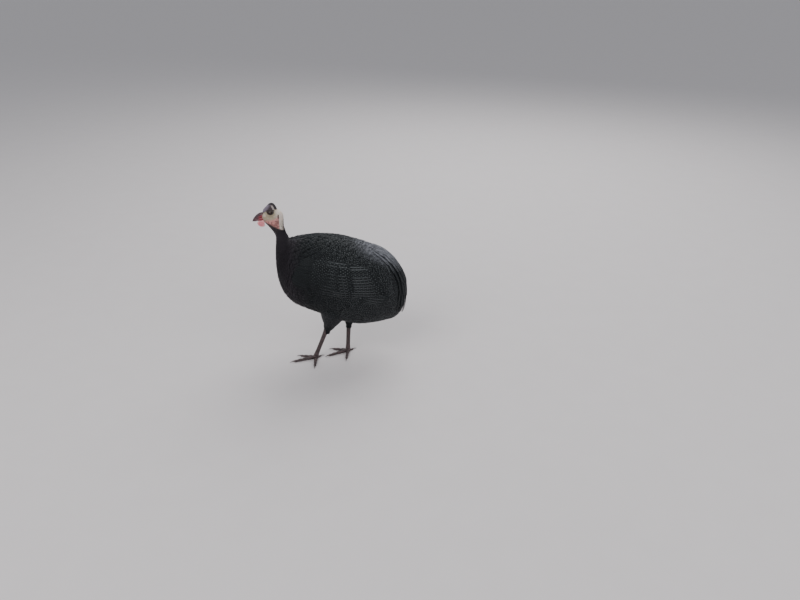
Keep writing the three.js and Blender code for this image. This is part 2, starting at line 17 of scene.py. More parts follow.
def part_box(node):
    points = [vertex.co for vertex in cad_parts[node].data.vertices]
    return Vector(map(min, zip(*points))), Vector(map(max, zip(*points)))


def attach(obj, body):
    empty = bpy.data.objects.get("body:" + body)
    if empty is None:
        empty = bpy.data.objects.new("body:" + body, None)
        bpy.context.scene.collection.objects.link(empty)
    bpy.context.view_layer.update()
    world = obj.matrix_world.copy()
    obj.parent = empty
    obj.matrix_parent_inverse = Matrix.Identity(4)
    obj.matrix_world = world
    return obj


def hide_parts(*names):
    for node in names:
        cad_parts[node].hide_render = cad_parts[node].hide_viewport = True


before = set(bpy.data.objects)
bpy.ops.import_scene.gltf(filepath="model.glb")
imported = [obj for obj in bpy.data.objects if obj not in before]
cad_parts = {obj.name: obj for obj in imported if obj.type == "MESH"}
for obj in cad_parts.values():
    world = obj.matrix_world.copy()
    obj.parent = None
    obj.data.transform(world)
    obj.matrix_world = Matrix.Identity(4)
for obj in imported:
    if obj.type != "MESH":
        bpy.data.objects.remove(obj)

LOG = logging.getLogger("guinea_fowl")
MM = 0.001
SEED = 20
BODY = "root"
PATCH = 0.003  # side of a feather's patch on the unwrap
ACROSS = np.array([0.0, 1.0, 0.0])  # from the bird's left to its right
Array = np.ndarray
Generator = np.random.Generator
Material = bpy.types.Material
Object = bpy.types.Object
Pair = tuple[float, float]
Triple = tuple[float, float, float]
Colour = tuple[float, float, float, float]
Table = tuple[tuple[float, ...], ...]
Socket = bpy.types.NodeSocket

# Places on the drawn head, in millimetres. The frame's left eye gives the drawing's place.
EYE = {"x": -157.5, "y": 11.2, "z": 396.5, "radius": 5.6, "sunk": 2.9}
EAR = {"x": -138.5, "z": 389.0}
CHEEK = {"x": -151.0, "z": 377.0}
GAPE = {"x": -171.0, "z": 379.5}
HUB = np.array([10.0, 0.0, 205.0])  # middle of the trunk, where its directions start

# Outline of the plumage, tail to breast: place, centre height, half width, reach up and down
PLUMAGE = np.array(
    [
        [169, 176, 0, 0, 0],
        [165, 176, 24, 36, 44],
        [155, 178, 41, 58, 69],
        [137, 184, 60, 80, 88],
        [112, 191, 76, 97, 100],
        [82, 197, 85, 108, 110],
        [42, 204, 92, 116, 118],
        [0, 214, 94, 118, 117],
        [-48, 226, 90, 110, 107],
        [-88, 236, 82, 97, 99],
        [-116, 240, 70, 80, 89],
        [-137, 240, 52, 62, 67],
        [-152, 242, 32, 44, 46],
        [-158, 240, 0, 0, 0],
    ],
    float,
)
INSET = 3.0  # how far the solid torso lies inside that outline
DRAWN_IN = 1 - INSET / np.array([163.5, np.inf, 92, 112, 110])
TORSO_STATIONS = 9  # of the outline's stations, those that stand upright in the skin's sweep


class Side(Enum):
    """Left or right of the bird, as the sign of Y."""

    LEFT = -1
    RIGHT = 1

    @property
    def word(self) -> str:
        """The side as part of a name.

        Returns:
            left or right.
        """
        return self.name.lower()


class Pattern(Enum):
    """Markings of a feather: strength of its dots, and of the bars on its outer edge."""

    DIM = (0.25, 0.3)
    DOTS = (0.8, 0.0)
    ROWS = (0.6, 0.75)
    BARS = (0.45, 1.0)


class Marks(Enum):
    """Marks of a whole part: dots, bars or (on the skin) bareness, tone, and fade to plain."""

    LID = (0.0, 1.0, 0.5, 1.0)
    THIGH = (1.0, 0.0, 0.5, 0.0)
    SCALES = (0.0, 0.0, 0.5, 1.0)
    BRISTLE = (0.0, 0.0, 0.1, 1.0)
    WING_BED = (0.0, 0.0, 0.5, 0.0)


def place_of_drawing() -> Array:
    """Offset from the drawing to the frame, from the left eye's box.

    Returns:
        The offset in metres.
    """
    low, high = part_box("eye_left")
    centre = (np.array(low) + np.array(high)) / 2
    return np.array([centre[0] - EYE["x"] * MM, 0.0, centre[2] - EYE["z"] * MM])


OFFSET = place_of_drawing()
FLOOR = -OFFSET[2] / MM  # level of the floor in the drawing


def torso_table() -> Array:
    """The torso's stations: the outline of the plumage, drawn in as the solid torso is.

    Returns:
        Rows of place, centre height, half width, reach up and reach down.
    """
    middle = (PLUMAGE[0, 0] + PLUMAGE[-1, 0]) / 2
    table = PLUMAGE * DRAWN_IN
    table[:, 0] = middle + (PLUMAGE[:, 0] - middle) * DRAWN_IN[0]
    return table


def smooth_step(low: float, high: float, value: Array) -> Array:
    """Rises from 0 at `low` to 1 at `high` as 3t^2 - 2t^3.

    Args:
        low: Where the rise starts.
        high: Where it ends.
        value: Numbers to place on it.
    Returns:
        Numbers from 0 to 1.
    """
    t = np.clip((value - low) / (high - low), 0.0, 1.0)
    return t * t * (3.0 - 2.0 * t)


def bump(value: Array, centre: float, width: float) -> Array:
    """Bell curve exp(-((value - centre) / width)^2).

    Args:
        value: Numbers to place on it.
        centre: Where it is 1.
        width: How far from there it has fallen to 1/e.
    Returns:
        Numbers from 0 to 1.
    """
    return np.exp(-(((value - centre) / width) ** 2))


def through(knots: Array, values: Array, t: Array) -> Array:
    """Smooth curve through values at uneven knots: cubic Hermite pieces with blended slopes.

    Args:
        knots: Rising parameter of each value.
        values: One row for each knot.
        t: Parameters to read.
    Returns:
        One row for each entry of t.
    """
    step = np.diff(knots)[:, None]
    slope = np.diff(values, axis=0) / step
    inner = (step[1:] * slope[:-1] + step[:-1] * slope[1:]) / (step[1:] + step[:-1])
    tangent = np.vstack([slope[:1], inner, slope[-1:]])
    i = np.clip(np.searchsorted(knots, t, side="right") - 1, 0, len(knots) - 2)
    h = step[i]
    f = ((t - knots[i])[:, None]) / h
    return (
        values[i] * (1 + 2 * f) * (1 - f) ** 2
        + values[i + 1] * f**2 * (3 - 2 * f)
        + h * tangent[i] * f * (1 - f) ** 2
        - h * tangent[i + 1] * f**2 * (1 - f)
    )


def dot_strength(x: Array) -> Array:
    """How clearly the dots show: faint on the breast, full past the hip.

    Args:
        x: Places along the bird, in millimetres.
    Returns:
        Strengths from 0.1 to 1.
    """
    return 0.1 + 0.9 * smooth_step(-120.0, 5.0, x)


def unit(vectors: Array) -> Array:
    """Vectors divided by their lengths.

    Args:
        vectors: One vector in each last axis.
    Returns:
        The same array with vectors of length 1.
    """
    return vectors / np.maximum(np.linalg.norm(vectors, axis=-1, keepdims=True), 1e-12)


class MeshBook:
    """Gathers patches of points and faces, with their maps, for one mesh object."""

    def __init__(self) -> None:
        """Starts empty."""
        self.points: list[Array] = []
        self.faces: list[Array] = []
        self.maps: dict[str, list[Array]] = {}
        self.marks: list[Array] = []
        self.slots: list[Array] = []
        self.count = 0

    def add(
        self,
        points: Array,
        faces: Array,
        maps: dict[str, Array] | None = None,
        marks: Array | None = None,
        slot: int = 0,
    ) -> None:
        """Adds one patch.

        Args:
            points: Places in drawing millimetres, one row each.
            faces: Rows of four point numbers, the last repeated in a triangle.
            maps: UV of each point, by map name.
            marks: Four numbers for each point: dots, bars, tone and fade.
            slot: Material slot of the patch.
        """
        self.points.append(points)
        self.faces.append(faces + self.count)
        for name, uv in (maps or {}).items():
            self.maps.setdefault(name, []).append(uv)
        if marks is not None:
            self.marks.append(marks)
        self.slots.append(np.full(len(faces), slot))
        self.count += len(points)

    def build(self, name: str, materials: list[Material]) -> Object:
        """Makes the mesh object, in metres in the frame.

        Args:
            name: Name of the object.
            materials: Its material slots.
        Returns:
            The object, standing at the origin.
        """
        points = np.vstack(self.points) * MM + OFFSET
        faces = np.vstack(self.faces)
        three = faces[:, 2] == faces[:, 3]
        loops = np.where(three[:, None], np.array([True, True, True, False]), True)
        totals = np.where(three, 3, 4)
        corner = faces[loops]
        mesh = bpy.data.meshes.new(name)
        mesh.vertices.add(len(points))
        mesh.vertices.foreach_set("co", points.astype(np.float32).ravel())
        mesh.loops.add(len(corner))
        mesh.loops.foreach_set("vertex_index", corner.astype(np.int32))
        mesh.polygons.add(len(faces))
        starts = np.concatenate([[0], np.cumsum(totals)[:-1]])
        mesh.polygons.foreach_set("loop_start", starts.astype(np.int32))
        mesh.polygons.foreach_set("material_index", np.concatenate(self.slots).astype(np.int32))
        mesh.polygons.foreach_set("use_smooth", np.ones(len(faces), bool))
        for map_name, parts in self.maps.items():
            layer = mesh.uv_layers.new(name=map_name)
            layer.data.foreach_set("uv", np.vstack(parts)[corner].astype(np.float32).ravel())
        if self.marks:
            tone = mesh.attributes.new("marks", "FLOAT_COLOR", "POINT")
            tone.data.foreach_set("color", np.vstack(self.marks).astype(np.float32).ravel())
        mesh.update(calc_edges=True)
        mesh.validate()
        for material in materials:
            mesh.materials.append(material)
        made = bpy.data.objects.new(name, mesh)
        bpy.context.scene.collection.objects.link(made)
        return made


def grid_faces(rows: int, columns: int, closed: bool) -> Array:
    """Quads of a grid of points, numbered row by row.

    Args:
        rows: Count of rows.
        columns: Count of points in a row.
        closed: Whether each row joins its own start.
    Returns:
        Rows of four point numbers.
    """
    i = np.arange(rows - 1)[:, None]
    j = np.arange(columns if closed else columns - 1)[None, :]
    k = (j + 1) % columns
    corners = [i * columns + j, (i + 1) * columns + j, (i + 1) * columns + k, i * columns + k]
    return np.stack(np.broadcast_arrays(*corners), -1).reshape(-1, 4)


def capped_tube(rings: Array) -> tuple[Array, Array]:
    """Closed surface from rings of points, with a point at the middle of each end ring.

    Args:
        rings: Array of (rings, points in a ring, 3).
    Returns:
        Points and faces, facing out.
    """
    rows, columns, _ = rings.shape
    points = np.vstack([rings.reshape(-1, 3), rings[0].mean(0), rings[-1].mean(0)])
    faces = [grid_faces(rows, columns, True)]
    j = np.arange(columns)
    k = (j + 1) % columns
    first = np.full(columns, rows * columns)
    end = (rows - 1) * columns
    faces.append(np.stack([first, j, k, k], -1))
    faces.append(np.stack([first + 1, end + k, end + j, end + j], -1))
    faces = np.vstack(faces)
    return points, facing_out(points, faces)


def facing_out(points: Array, faces: Array) -> Array:
    """Turns a closed surface's faces round where it encloses a negative volume.

    Args:
        points: Places.
        faces: Rows of four point numbers.
    Returns:
        The faces, turned if needed.
    """
    a, b, c, d = (points[faces[:, n]] for n in range(4))
    volume = np.einsum("ij,ij->i", a, np.cross(b, c)) + np.einsum("ij,ij->i", a, np.cross(c, d))
    if volume.sum() > 0:
        return faces
    return np.where((faces[:, 2] == faces[:, 3])[:, None], faces[:, [2, 1, 0, 0]], faces[:, ::-1])


def path_frames(path: Array, hint: Array) -> tuple[Array, Array]:
    """Two directions across a path at each of its points.

    Args:
        path: Points of the path.
        hint: Direction that the first of the two stays close to.
    Returns:
        The direction near the hint, and the one at right angles to it and the path.
    """
    ahead = unit(np.gradient(path, axis=0))
    side = unit(hint - ahead * (ahead @ hint)[:, None])
    return side, unit(np.cross(ahead, side))


def sweep(path: Array, across: Array, over: Array, hint: Array, sides: int) -> Array:
    """Rings along a path: centre + across * cos(a) * side + over * sin(a) * up.

    Args:
        path: Centre of each ring.
        across: Half width along the hint's side.
        over: Half height at right angles to it.
        hint: Direction of the side.
        sides: Points in a ring.
    Returns:
        Array of (rings, sides, 3).
    """
    side, up = path_frames(path, hint)
    angle = np.linspace(0, 2 * np.pi, sides, endpoint=False)
    return (
        path[:, None]
        + side[:, None] * (across[:, None] * np.cos(angle))[..., None]
        + up[:, None] * (over[:, None] * np.sin(angle))[..., None]
    )


def add_limb(book: MeshBook, rings: Array, marks: Marks, slot: int = 0) -> None:
    """Adds a closed tube that has one set of marks and no vanes.

    Args:
        book: Mesh to add it to.
        rings: Array of (rings, points in a ring, 3).
        marks: Its marks.
        slot: Its material slot.
    """
    points, faces = capped_tube(rings)
    spread = np.tile(marks.value, (len(points), 1))
    book.add(points, faces, {"Vane": np.zeros((len(points), 2))}, spread, slot)


def above_floor(rings: Array, gap: float) -> Array:
    """Rings with everything lower than a small gap over the floor pressed flat at it.

    Args:
        rings: Points, with their height last.
        gap: The gap in millimetres.
    Returns:
        The pressed rings.
    """
    pressed = rings.copy()
    pressed[..., 2] = np.maximum(rings[..., 2], FLOOR + gap)
    return pressed


@dataclass
class BodyShape:
    """Outline of body, neck and head, as mid-plane chords that fan round the nape.

    Each station is top x, top z, bottom x, bottom z and half width. The torso's come first.
    """

    fan: Table = (
        (-82, 331, -90, 141.5, 79.5),
        (-100, 329.5, -119.5, 157, 68.5),
        (-110, 328.8, -140, 182, 58),
        (-115, 328.4, -151, 211, 46.5),
        (-117, 328.8, -155, 243, 36),
        (-118, 330, -155, 272, 28),
        (-119.5, 332.5, -153.2, 298, 21.8),
        (-121.5, 338, -151, 317, 17),
        (-124.5, 345, -150.4, 333, 13.6),
        (-127.5, 353, -154.5, 345, 12.8),
        (-129, 361, -160.5, 354.5, 13),
        (-128.3, 371, -166, 361.5, 13.6),
        (-127.3, 381, -170.5, 367, 14.1),
        (-129, 391, -173.5, 371.5, 14.3),
        (-135.5, 398.6, -175.5, 375, 14),
        (-146, 402.6, -176.5, 377.5, 13.2),
        (-157, 402.4, -177.3, 379.3, 12),
        (-167, 399, -177.8, 380.8, 10),
        (-173.5, 395, -178.2, 382.2, 8),
        (-177.4, 391, -178.6, 383.8, 5),
        (-179, 387.4, -179, 386.4, 0.6),
    )
    coat: float = 6.0
    neck_coat: float = 2.4
    head_coat: float = 0.15
    neck_station: int = 16
    bare_station: int = 18

    def __post_init__(self) -> None:
        """Works out the stations, and the knots: how far along the sweep each lies."""
        x, z, width, up, down = torso_table()[:TORSO_STATIONS].T
        self.stations = s = np.vstack([np.stack([x, z + up, x, z - down, width], -1), self.fan])
        top = np.hypot(*np.diff(s[:, :2], axis=0).T)
        bottom = np.hypot(*np.diff(s[:, 2:4], axis=0).T)
        self.knots = np.concatenate([[0], np.cumsum((top + bottom) / 2)])

    def at(self, u: Array, columns: int) -> Array:
        """Outline points on a grid: centre + half chord * cos(a) + half width * sin(a).

        Args:
            u: Places along the sweep, in millimetres.
            columns: Points round a section, from the top over the left side.
        Returns:
            Array of (len(u), columns, 3).
        """
        top_x, top_z, low_x, low_z, width = through(self.knots, self.stations, u).T
        angle = np.linspace(0, 2 * np.pi, columns, endpoint=False)
        zero = np.zeros_like(top_x)
        centre = np.stack([(top_x + low_x) / 2, zero, (top_z + low_z) / 2], -1)
        chord = np.stack([(top_x - low_x) / 2, zero, (top_z - low_z) / 2], -1)
        side = np.stack([zero, -np.maximum(width, 0.3), zero], -1)
        return (
            centre[:, None]
            + chord[:, None] * np.cos(angle)[None, :, None]
            + side[:, None] * np.sin(angle)[None, :, None]
        )

    def depth(self, u: Array) -> Array:
        """Depth of the coat: full on the body, thin on the neck, next to none on the head.

        Args:
            u: Places along the sweep, in millimetres.
        Returns:
            Depths in millimetres.
        """
        neck, bare = self.knots[self.neck_station], self.knots[self.bare_station]
        body = self.coat + (self.neck_coat - self.coat) * smooth_step(neck - 70, neck, u)
        return body * (1 - smooth_step(neck, bare + 4, u)) + self.head_coat

    def normals(self, grid: Array) -> Array:
        """Outward normals of a grid of points, by the cross product of its two gradients.

        Args:
            grid: Array of (rings, points in a ring, 3).
        Returns:
            Unit vectors in an array of the same form.
        """
        along = np.gradient(grid, axis=0)
        around = (np.roll(grid, -1, axis=1) - np.roll(grid, 1, axis=1)) / 2
        normal = unit(np.cross(around, along))
        out = grid - grid.mean(axis=1, keepdims=True)
        return normal * np.sign(np.einsum("ijk,ijk->", normal, out))


class Field:
    """Fine table of the skin, read at any place to lay feathers on it."""

    def __init__(self, shape: BodyShape, rows: int = 900, columns: int = 360) -> None:
        """Samples the skin.

        Args:
            shape: The body's outline.
            rows: Samples along the sweep.
            columns: Samples round it.
        """
        self.shape = shape
        self.u = np.linspace(0, shape.knots[-1], rows)
        outline = shape.at(self.u, columns)
        self.normal = shape.normals(outline)
        self.depth = shape.depth(self.u)
        self.skin = outline - self.normal * self.depth[:, None, None]
        self.columns = columns
        self.along = np.linalg.norm(np.gradient(self.skin, self.u, axis=0), axis=-1)
        turn = (np.roll(self.skin, -1, axis=1) - np.roll(self.skin, 1, axis=1)) / 2
        self.around = np.linalg.norm(turn, axis=-1) * columns

    def read(self, table: Array, u: Array, v: Array) -> Array:
        """Value of a table at places, blended between its four nearest samples.

        Args:
            table: Array of (rows, columns) or (rows, columns, 3).
            u: Places along the sweep, in millimetres.
            v: Places round it, as a share of a turn.
        Returns:
            One value for each place.
        """
        r = np.clip(u / self.u[-1], 0, 1) * (len(self.u) - 1)
        i = np.minimum(r.astype(int), len(self.u) - 2)
        c = (v % 1.0) * self.columns
        j = c.astype(int) % self.columns
        k = (j + 1) % self.columns
        f, g = r - i, c - np.floor(c)
        if table.ndim == 3:
            f, g = f[..., None], g[..., None]
        low = table[i, j] * (1 - g) + table[i, k] * g
        high = table[i + 1, j] * (1 - g) + table[i + 1, k] * g
        return low * (1 - f) + high * f


@dataclass
class Feathers:
    """Roots and sizes of many small feathers, one entry for each.

    u and v are places along the sweep and round it, the heading is in radians, the rise is
    the tip's height over the skin, and the spacing is the step of the dots.
    """

    u: Array
    v: Array
    length: Array
    width: Array
    heading: Array
    rise: Array
    marks: Array
    spacing: Array


def vane_outline(s: Array) -> Array:
    """Half width along a feather, 1 at its widest: a narrow root, a swell and a round end.

    It is (0.45 + 0.55 * rise over the first 0.4) * sqrt(1 - ((s - 0.55) / 0.46)^2) past 0.55.

    Args:
        s: Places from root to tip, 0 to 1.
    Returns:
        Half widths.
    """
    swell = 0.45 + 0.55 * smooth_step(0.0, 0.4, s)
    return swell * np.sqrt(np.clip(1 - (np.clip(s - 0.55, 0, 1) / 0.46) ** 2, 0.012, 1))


def vane_grid(rows: int, columns: int) -> tuple[Array, Array]:
    """Places on a vane, ready to spread over many vanes.

    Args:
        rows: Points from root to tip.
        columns: Points from edge to edge.
    Returns:
        s from root to tip, 0 to 1, and t from edge to edge, -1 to 1.
    """
    return np.linspace(0, 1, rows)[None, :, None], np.linspace(-1, 1, columns)[None, None, :]


def vane_map(length: Array, width: Array, spacing: Array, rows: int, columns: int) -> Array:
    """Places on each vane counted in steps of its dots: across from the shaft, up from the tip.

    Args:
        length: Length of each vane.
        width: Its full width.
        spacing: Step of its dots.
        rows: Points from root to tip.
        columns: Points from edge to edge.
    Returns:
        Array of (vanes, rows, columns, 2).
    """
    s, t = vane_grid(rows, columns)
    size = spacing[:, None, None]
    x = 0.5 * width[:, None, None] * vane_outline(s) * t / size
    y = length[:, None, None] * (1 - s) / size + 0 * t
    return np.stack(np.broadcast_arrays(x, y), -1)


def double_grid(rows: int, columns: int) -> tuple[Array, Array]:
    """Faces of a thin closed vane: an upper grid and a lower one that share their rim.

    Args:
        rows: Rows of points.
        columns: Points in a row.
    Returns:
        Faces, and the places in the grid of the points that only the lower side has.
    """
    upper = np.arange(rows * columns).reshape(rows, columns)
    lower = upper.copy()
    lower[1:-1, 1:-1] = rows * columns + np.arange((rows - 2) * (columns - 2)).reshape(rows - 2, -1)
    top = grid_faces(rows, columns, False)
    under = lower.ravel()[top][:, ::-1]
    return np.vstack([top, under]), upper[1:-1, 1:-1].ravel()


def many_vanes(
    book: MeshBook,
    upper: Array,
    normal: Array,
    thick: float,
    patch: Array,
    vane_uv: Array,
    marks: Array,
) -> None:
    """Adds many thin closed vanes of one grid size to a mesh.

    Args:
        book: The mesh.
        upper: Upper side of each vane, (vanes, rows, columns, 3).
        normal: Outward normals there.
        thick: Thickness at the middle, in millimetres.
        patch: Place of each vane's small patch on the unwrap, (vanes, 2).
        vane_uv: Place of each point on its vane, (vanes, rows, columns, 2).
        marks: Four numbers for each vane.
    """
    count, rows, columns, _ = upper.shape
    faces, inner = double_grid(rows, columns)
    flat = upper.reshape(count, -1, 3)
    lower = flat[:, inner] - normal.reshape(count, -1, 3)[:, inner] * thick
    points = np.concatenate([flat, lower], 1)
    s, t = np.meshgrid(np.linspace(0, 1, rows), np.linspace(0, 1, columns), indexing="ij")
    unit_uv = np.stack([t, s], -1).reshape(-1, 2) - 0.5
    bake = patch[:, None] + PATCH * unit_uv[None]
    vane = vane_uv.reshape(count, -1, 2)
    per = points.shape[1]
    numbers = faces[None] + (np.arange(count) * per)[:, None, None]
    facing = np.einsum(
        "ij,ij->i",
        np.cross(flat[:, columns] - flat[:, 0], flat[:, 1] - flat[:, 0]),
        normal.reshape(count, -1, 3)[:, 0],
    )
    numbers = np.where((facing > 0)[:, None, None], numbers, numbers[..., ::-1])
    full = {
        "OFBake": np.concatenate([bake, bake[:, inner]], 1).reshape(-1, 2),
        "Vane": np.concatenate([vane, vane[:, inner]], 1).reshape(-1, 2),
    }
    spread = np.repeat(marks, per, axis=0)
    book.add(points.reshape(-1, 3), numbers.reshape(-1, 4), full, spread)


@dataclass
class Coat:
    """Small feathers of body and neck, set row by row along lines from neck to tail.

    Gaps, widths and heights are shares of a feather's length or of the coat's depth.
    """

    shape: BodyShape
    field: Field
    lines: int = 84
    rows: int = 6
    columns: int = 5
    thick: float = 0.25
    body_length: float = 25.0
    rump_extra: float = 5.0
    neck_length: float = 6.5
    row_gap: float = 0.29
    line_gap: float = 0.3
    rise_share: Pair = (0.86, 1.04)
    length_share: Pair = (0.93, 1.07)
    width_share: Pair = (0.56, 0.62)
    dot_step: float = 3.9
    belly_dot_step: float = 5.4
    tail_end: float = 14.0  # no roots nearer to the tail's end than this
    collar: float = 21.0  # how much further the feathers reach up the throat than up the nape
    bands: tuple[str, ...] = ("rear", "flank", "breast", "neck")

    def feather_length(self, u: Array) -> Array:
        """Length of a feather: short up the neck, longer over back, flank and rump.

        Args:
            u: Places along the sweep, in millimetres.
        Returns:
            Lengths in millimetres.
        """
        neck = self.shape.knots[self.shape.neck_station]
        up = smooth_step(neck - 130, neck + 12, u)
        rump = smooth_step(170, 40, u)
        return (self.body_length + self.rump_extra * rump) * (1 - up) + self.neck_length * up

    def places(self) -> tuple[Array, Array]:
        """Places of the roots: evenly spaced along each line, every other line half a step on.

        Where the lines crowd together towards the neck and the tail, only every second or
        fourth one keeps its feathers.

        Returns:
            Places along the sweep, and round it as a share of a turn.
        """
        table = self.field
        bare = self.shape.knots[self.shape.bare_station]
        found: list[Array] = []
        for line in range(self.lines):
            v = np.full(len(table.u), line / self.lines)
            step = table.read(table.along, table.u, v)
            length = self.feather_length(table.u)
            share = step[1:] * np.diff(table.u) / (self.row_gap * length[1:])
            steps = np.concatenate([[0], np.cumsum(share)])
            u = np.interp(np.arange(0.3 + 0.5 * (line % 2), steps[-1]), steps, table.u)
            v = v[: len(u)]
            gap = table.read(table.around, u, v) / self.lines
            target = self.line_gap * self.feather_length(u)
            crowded = np.where(gap > 0.31 * target, line % 2 == 0, line % 4 == 0)
            keep = np.where(gap > 0.62 * target, True, crowded)
            keep &= u < bare - 1 + self.collar * np.sin(np.pi * v) ** 1.7
            keep &= u > self.tail_end
            found.append(np.stack([u[keep], v[keep]], -1))
        u, v = np.vstack(found).T
        return u, v

    def roots(self, rng: Generator) -> Feathers:
        """Sizes and marks of the feathers, each a little off its even place.

        Args:
            rng: Source of the small random differences.
        Returns:
            The feathers.
        """
        u, v = self.places()
        count = len(u)
        length = self.feather_length(u)
        u = u + rng.normal(0, 0.035, count) * length
        around = np.maximum(self.field.read(self.field.around, u, v), 1)
        v = v + rng.normal(0, 0.05, count) * length / around
        neck = self.shape.knots[self.shape.neck_station]
        plain = smooth_step(neck - 118, neck - 62, u - 26 * np.cos(2 * np.pi * v))
        droop = np.radians(20) * np.sin(2 * np.pi * v) * smooth_step(neck, neck - 100, u)
        rise = self.field.shape.depth(u) * rng.uniform(*self.rise_share, count)
        tone = rng.uniform(0, 1, count)
        dots = (1 - plain) * dot_strength(self.field.read(self.field.skin, u, v)[..., 0])
        from_back = np.abs((v + 0.5) % 1 - 0.5)
        belly = smooth_step(0.16, 0.42, from_back) * smooth_step(230, 120, u)
        size = self.dot_step + (self.belly_dot_step - self.dot_step) * belly
        return Feathers(
            u=u,
            v=v,
            length=length * rng.uniform(*self.length_share, count),
            width=length * rng.uniform(*self.width_share, count),
            heading=droop + rng.normal(0, 0.06, count),
            rise=rise,
            marks=np.stack([dots, np.zeros(count), tone, plain], -1),
            spacing=size,
        )

    def lay(self, feathers: Feathers) -> tuple[Array, Array]:
        """Upper side of each feather: a bent strip that follows the skin and rises to its tip.

        A point at s along and t across lies over the skin at root + s * length along the
        heading, at the height rise * (0.12 + 0.88 s^0.9) + 0.35 (1 - t^2) s - 0.25.

        Args:
            feathers: Roots and sizes.
        Returns:
            Points and outward normals, (feathers, rows, columns, 3).
        """
        s, t = vane_grid(self.rows, self.columns)
        along = feathers.length[:, None, None] * (s * (1 - 0.05 * t**2 * s))
        across = 0.5 * feathers.width[:, None, None] * vane_outline(s) * t
        heading = feathers.heading[:, None, None]
        cos, sin = np.cos(heading), np.sin(heading)
        rate_u = self.field.read(self.field.along, feathers.u, feathers.v)[:, None, None]
        rate_v = self.field.read(self.field.around, feathers.u, feathers.v)[:, None, None]
        u = feathers.u[:, None, None] - (along * cos - across * sin) / np.maximum(rate_u, 0.25)
        v = feathers.v[:, None, None] + (along * sin + across * cos) / np.maximum(rate_v, 20)
        u = np.maximum(u, 1.0)
        base = self.field.read(self.field.skin, u, v)
        normal = unit(self.field.read(self.field.normal, u, v))
        height = feathers.rise[:, None, None] * (0.12 + 0.88 * s**0.9)
        height = height + 0.35 * (1 - t**2) * s - 0.25
        return base + normal * height[..., None], normal

    def build(self, rng: Generator) -> dict[str, MeshBook]:
        """Makes the coat in bands from tail to neck, each with an equal share of the feathers.

        Args:
            rng: Source of the small random differences.
        Returns:
            The mesh of each band, by its name.
        """
        feathers = self.roots(rng)
        upper, normal = self.lay(feathers)
        uv = vane_map(feathers.length, feathers.width, feathers.spacing, self.rows, self.columns)
        patch = np.stack([feathers.v % 1, feathers.u / self.field.u[-1]], -1) * 0.98 + 0.01
        made: dict[str, MeshBook] = {}
        order = np.argsort(feathers.u, kind="stable")
        for name, chosen in zip(self.bands, np.array_split(order, len(self.bands))):
            made[name] = MeshBook()
            each = [table[chosen] for table in (patch, uv, feathers.marks)]
            many_vanes(made[name], upper[chosen], normal[chosen], self.thick, *each)
            LOG.info("%s coat: %d feathers", name, len(chosen))
        return made


@dataclass(frozen=True)
class Tier:
    """One tier of large feathers, between a first and a last one.

    Roots and tips are (bearing, pitch) in degrees seen from HUB, and a tip strays from its
    even place. Lift is the height of root and tip over the body in millimetres. The first and
    last feathers sink into the coat, and so does each root.
    """

    name: str
    count: int
    width: float
    root: tuple[Pair, Pair]
    tip: tuple[Pair, Pair]
    lift: Pair
    pattern: Pattern = Pattern.DOTS
    spacing: float = 4.6
    rows: int = 14
    columns: int = 9
    stray: Pair = (0.5, 0.35)
    sunk_edge: float = 2.4
    sunk_root: float = 2.2
    shaft: float = 0.28
    camber: float = 0.5
    tilt: float = 0.8
    thick: float = 0.4


class Trunk:
    """The solid torso's outer surface, read along rays from HUB."""

    reach: float = 260.0
    halvings: int = 24

    def __init__(self) -> None:
        """Samples the torso's stations finely, with the sizes blended as squares."""
        table = torso_table()[::-1]
        squares = np.hstack([table[:, 1:2], table[:, 2:] ** 2])
        steps = np.linspace(0, len(table) - 1, 800)
        whole = through(np.arange(len(table)) * 1.0, np.hstack([table[:, :1], squares]), steps)
        self.fine = whole[:, 0]
        self.table = np.hstack([whole[:, 1:2], np.sqrt(np.maximum(whole[:, 2:], 0.01))])

    def inside(self, p: Array) -> Array:
        """Whether points lie inside: (y / width)^2 + ((z - centre) / reach)^2 < 1.

        Args:
            p: The points.
        Returns:
            True or false for each.
        """
        z, w, up, down = (np.interp(p[..., 0], self.fine, self.table[:, n]) for n in range(4))
        high = p[..., 2] - z
        within = (p[..., 0] > self.fine[0]) & (p[..., 0] < self.fine[-1])
        return within & ((p[..., 1] / w) ** 2 + (high / np.where(high > 0, up, down)) ** 2 < 1)

    def at(self, bearing: Array, pitch: Array, height: Array, side: int) -> tuple[Array, Array]:
        """Points over the torso in directions from HUB, found by halving.

        Args:
            bearing: Degrees round from the tail towards the side.
            pitch: Degrees up from level.
            height: Millimetres out from the surface.
            side: -1 for the left, 1 for the right.
        Returns:
            Points, and the directions from HUB.
        """
        b, p = np.radians(bearing), np.radians(pitch)
        ray = np.stack([np.cos(p) * np.cos(b), side * np.cos(p) * np.sin(b), np.sin(p)], -1)
        near, far = np.zeros(ray.shape[:-1]), np.full(ray.shape[:-1], self.reach)
        for _ in range(self.halvings):
            middle = (near + far) / 2
            hit = self.inside(HUB + ray * middle[..., None])
            near, far = np.where(hit, middle, near), np.where(hit, far, middle)
        return HUB + ray * (near + height)[..., None], ray


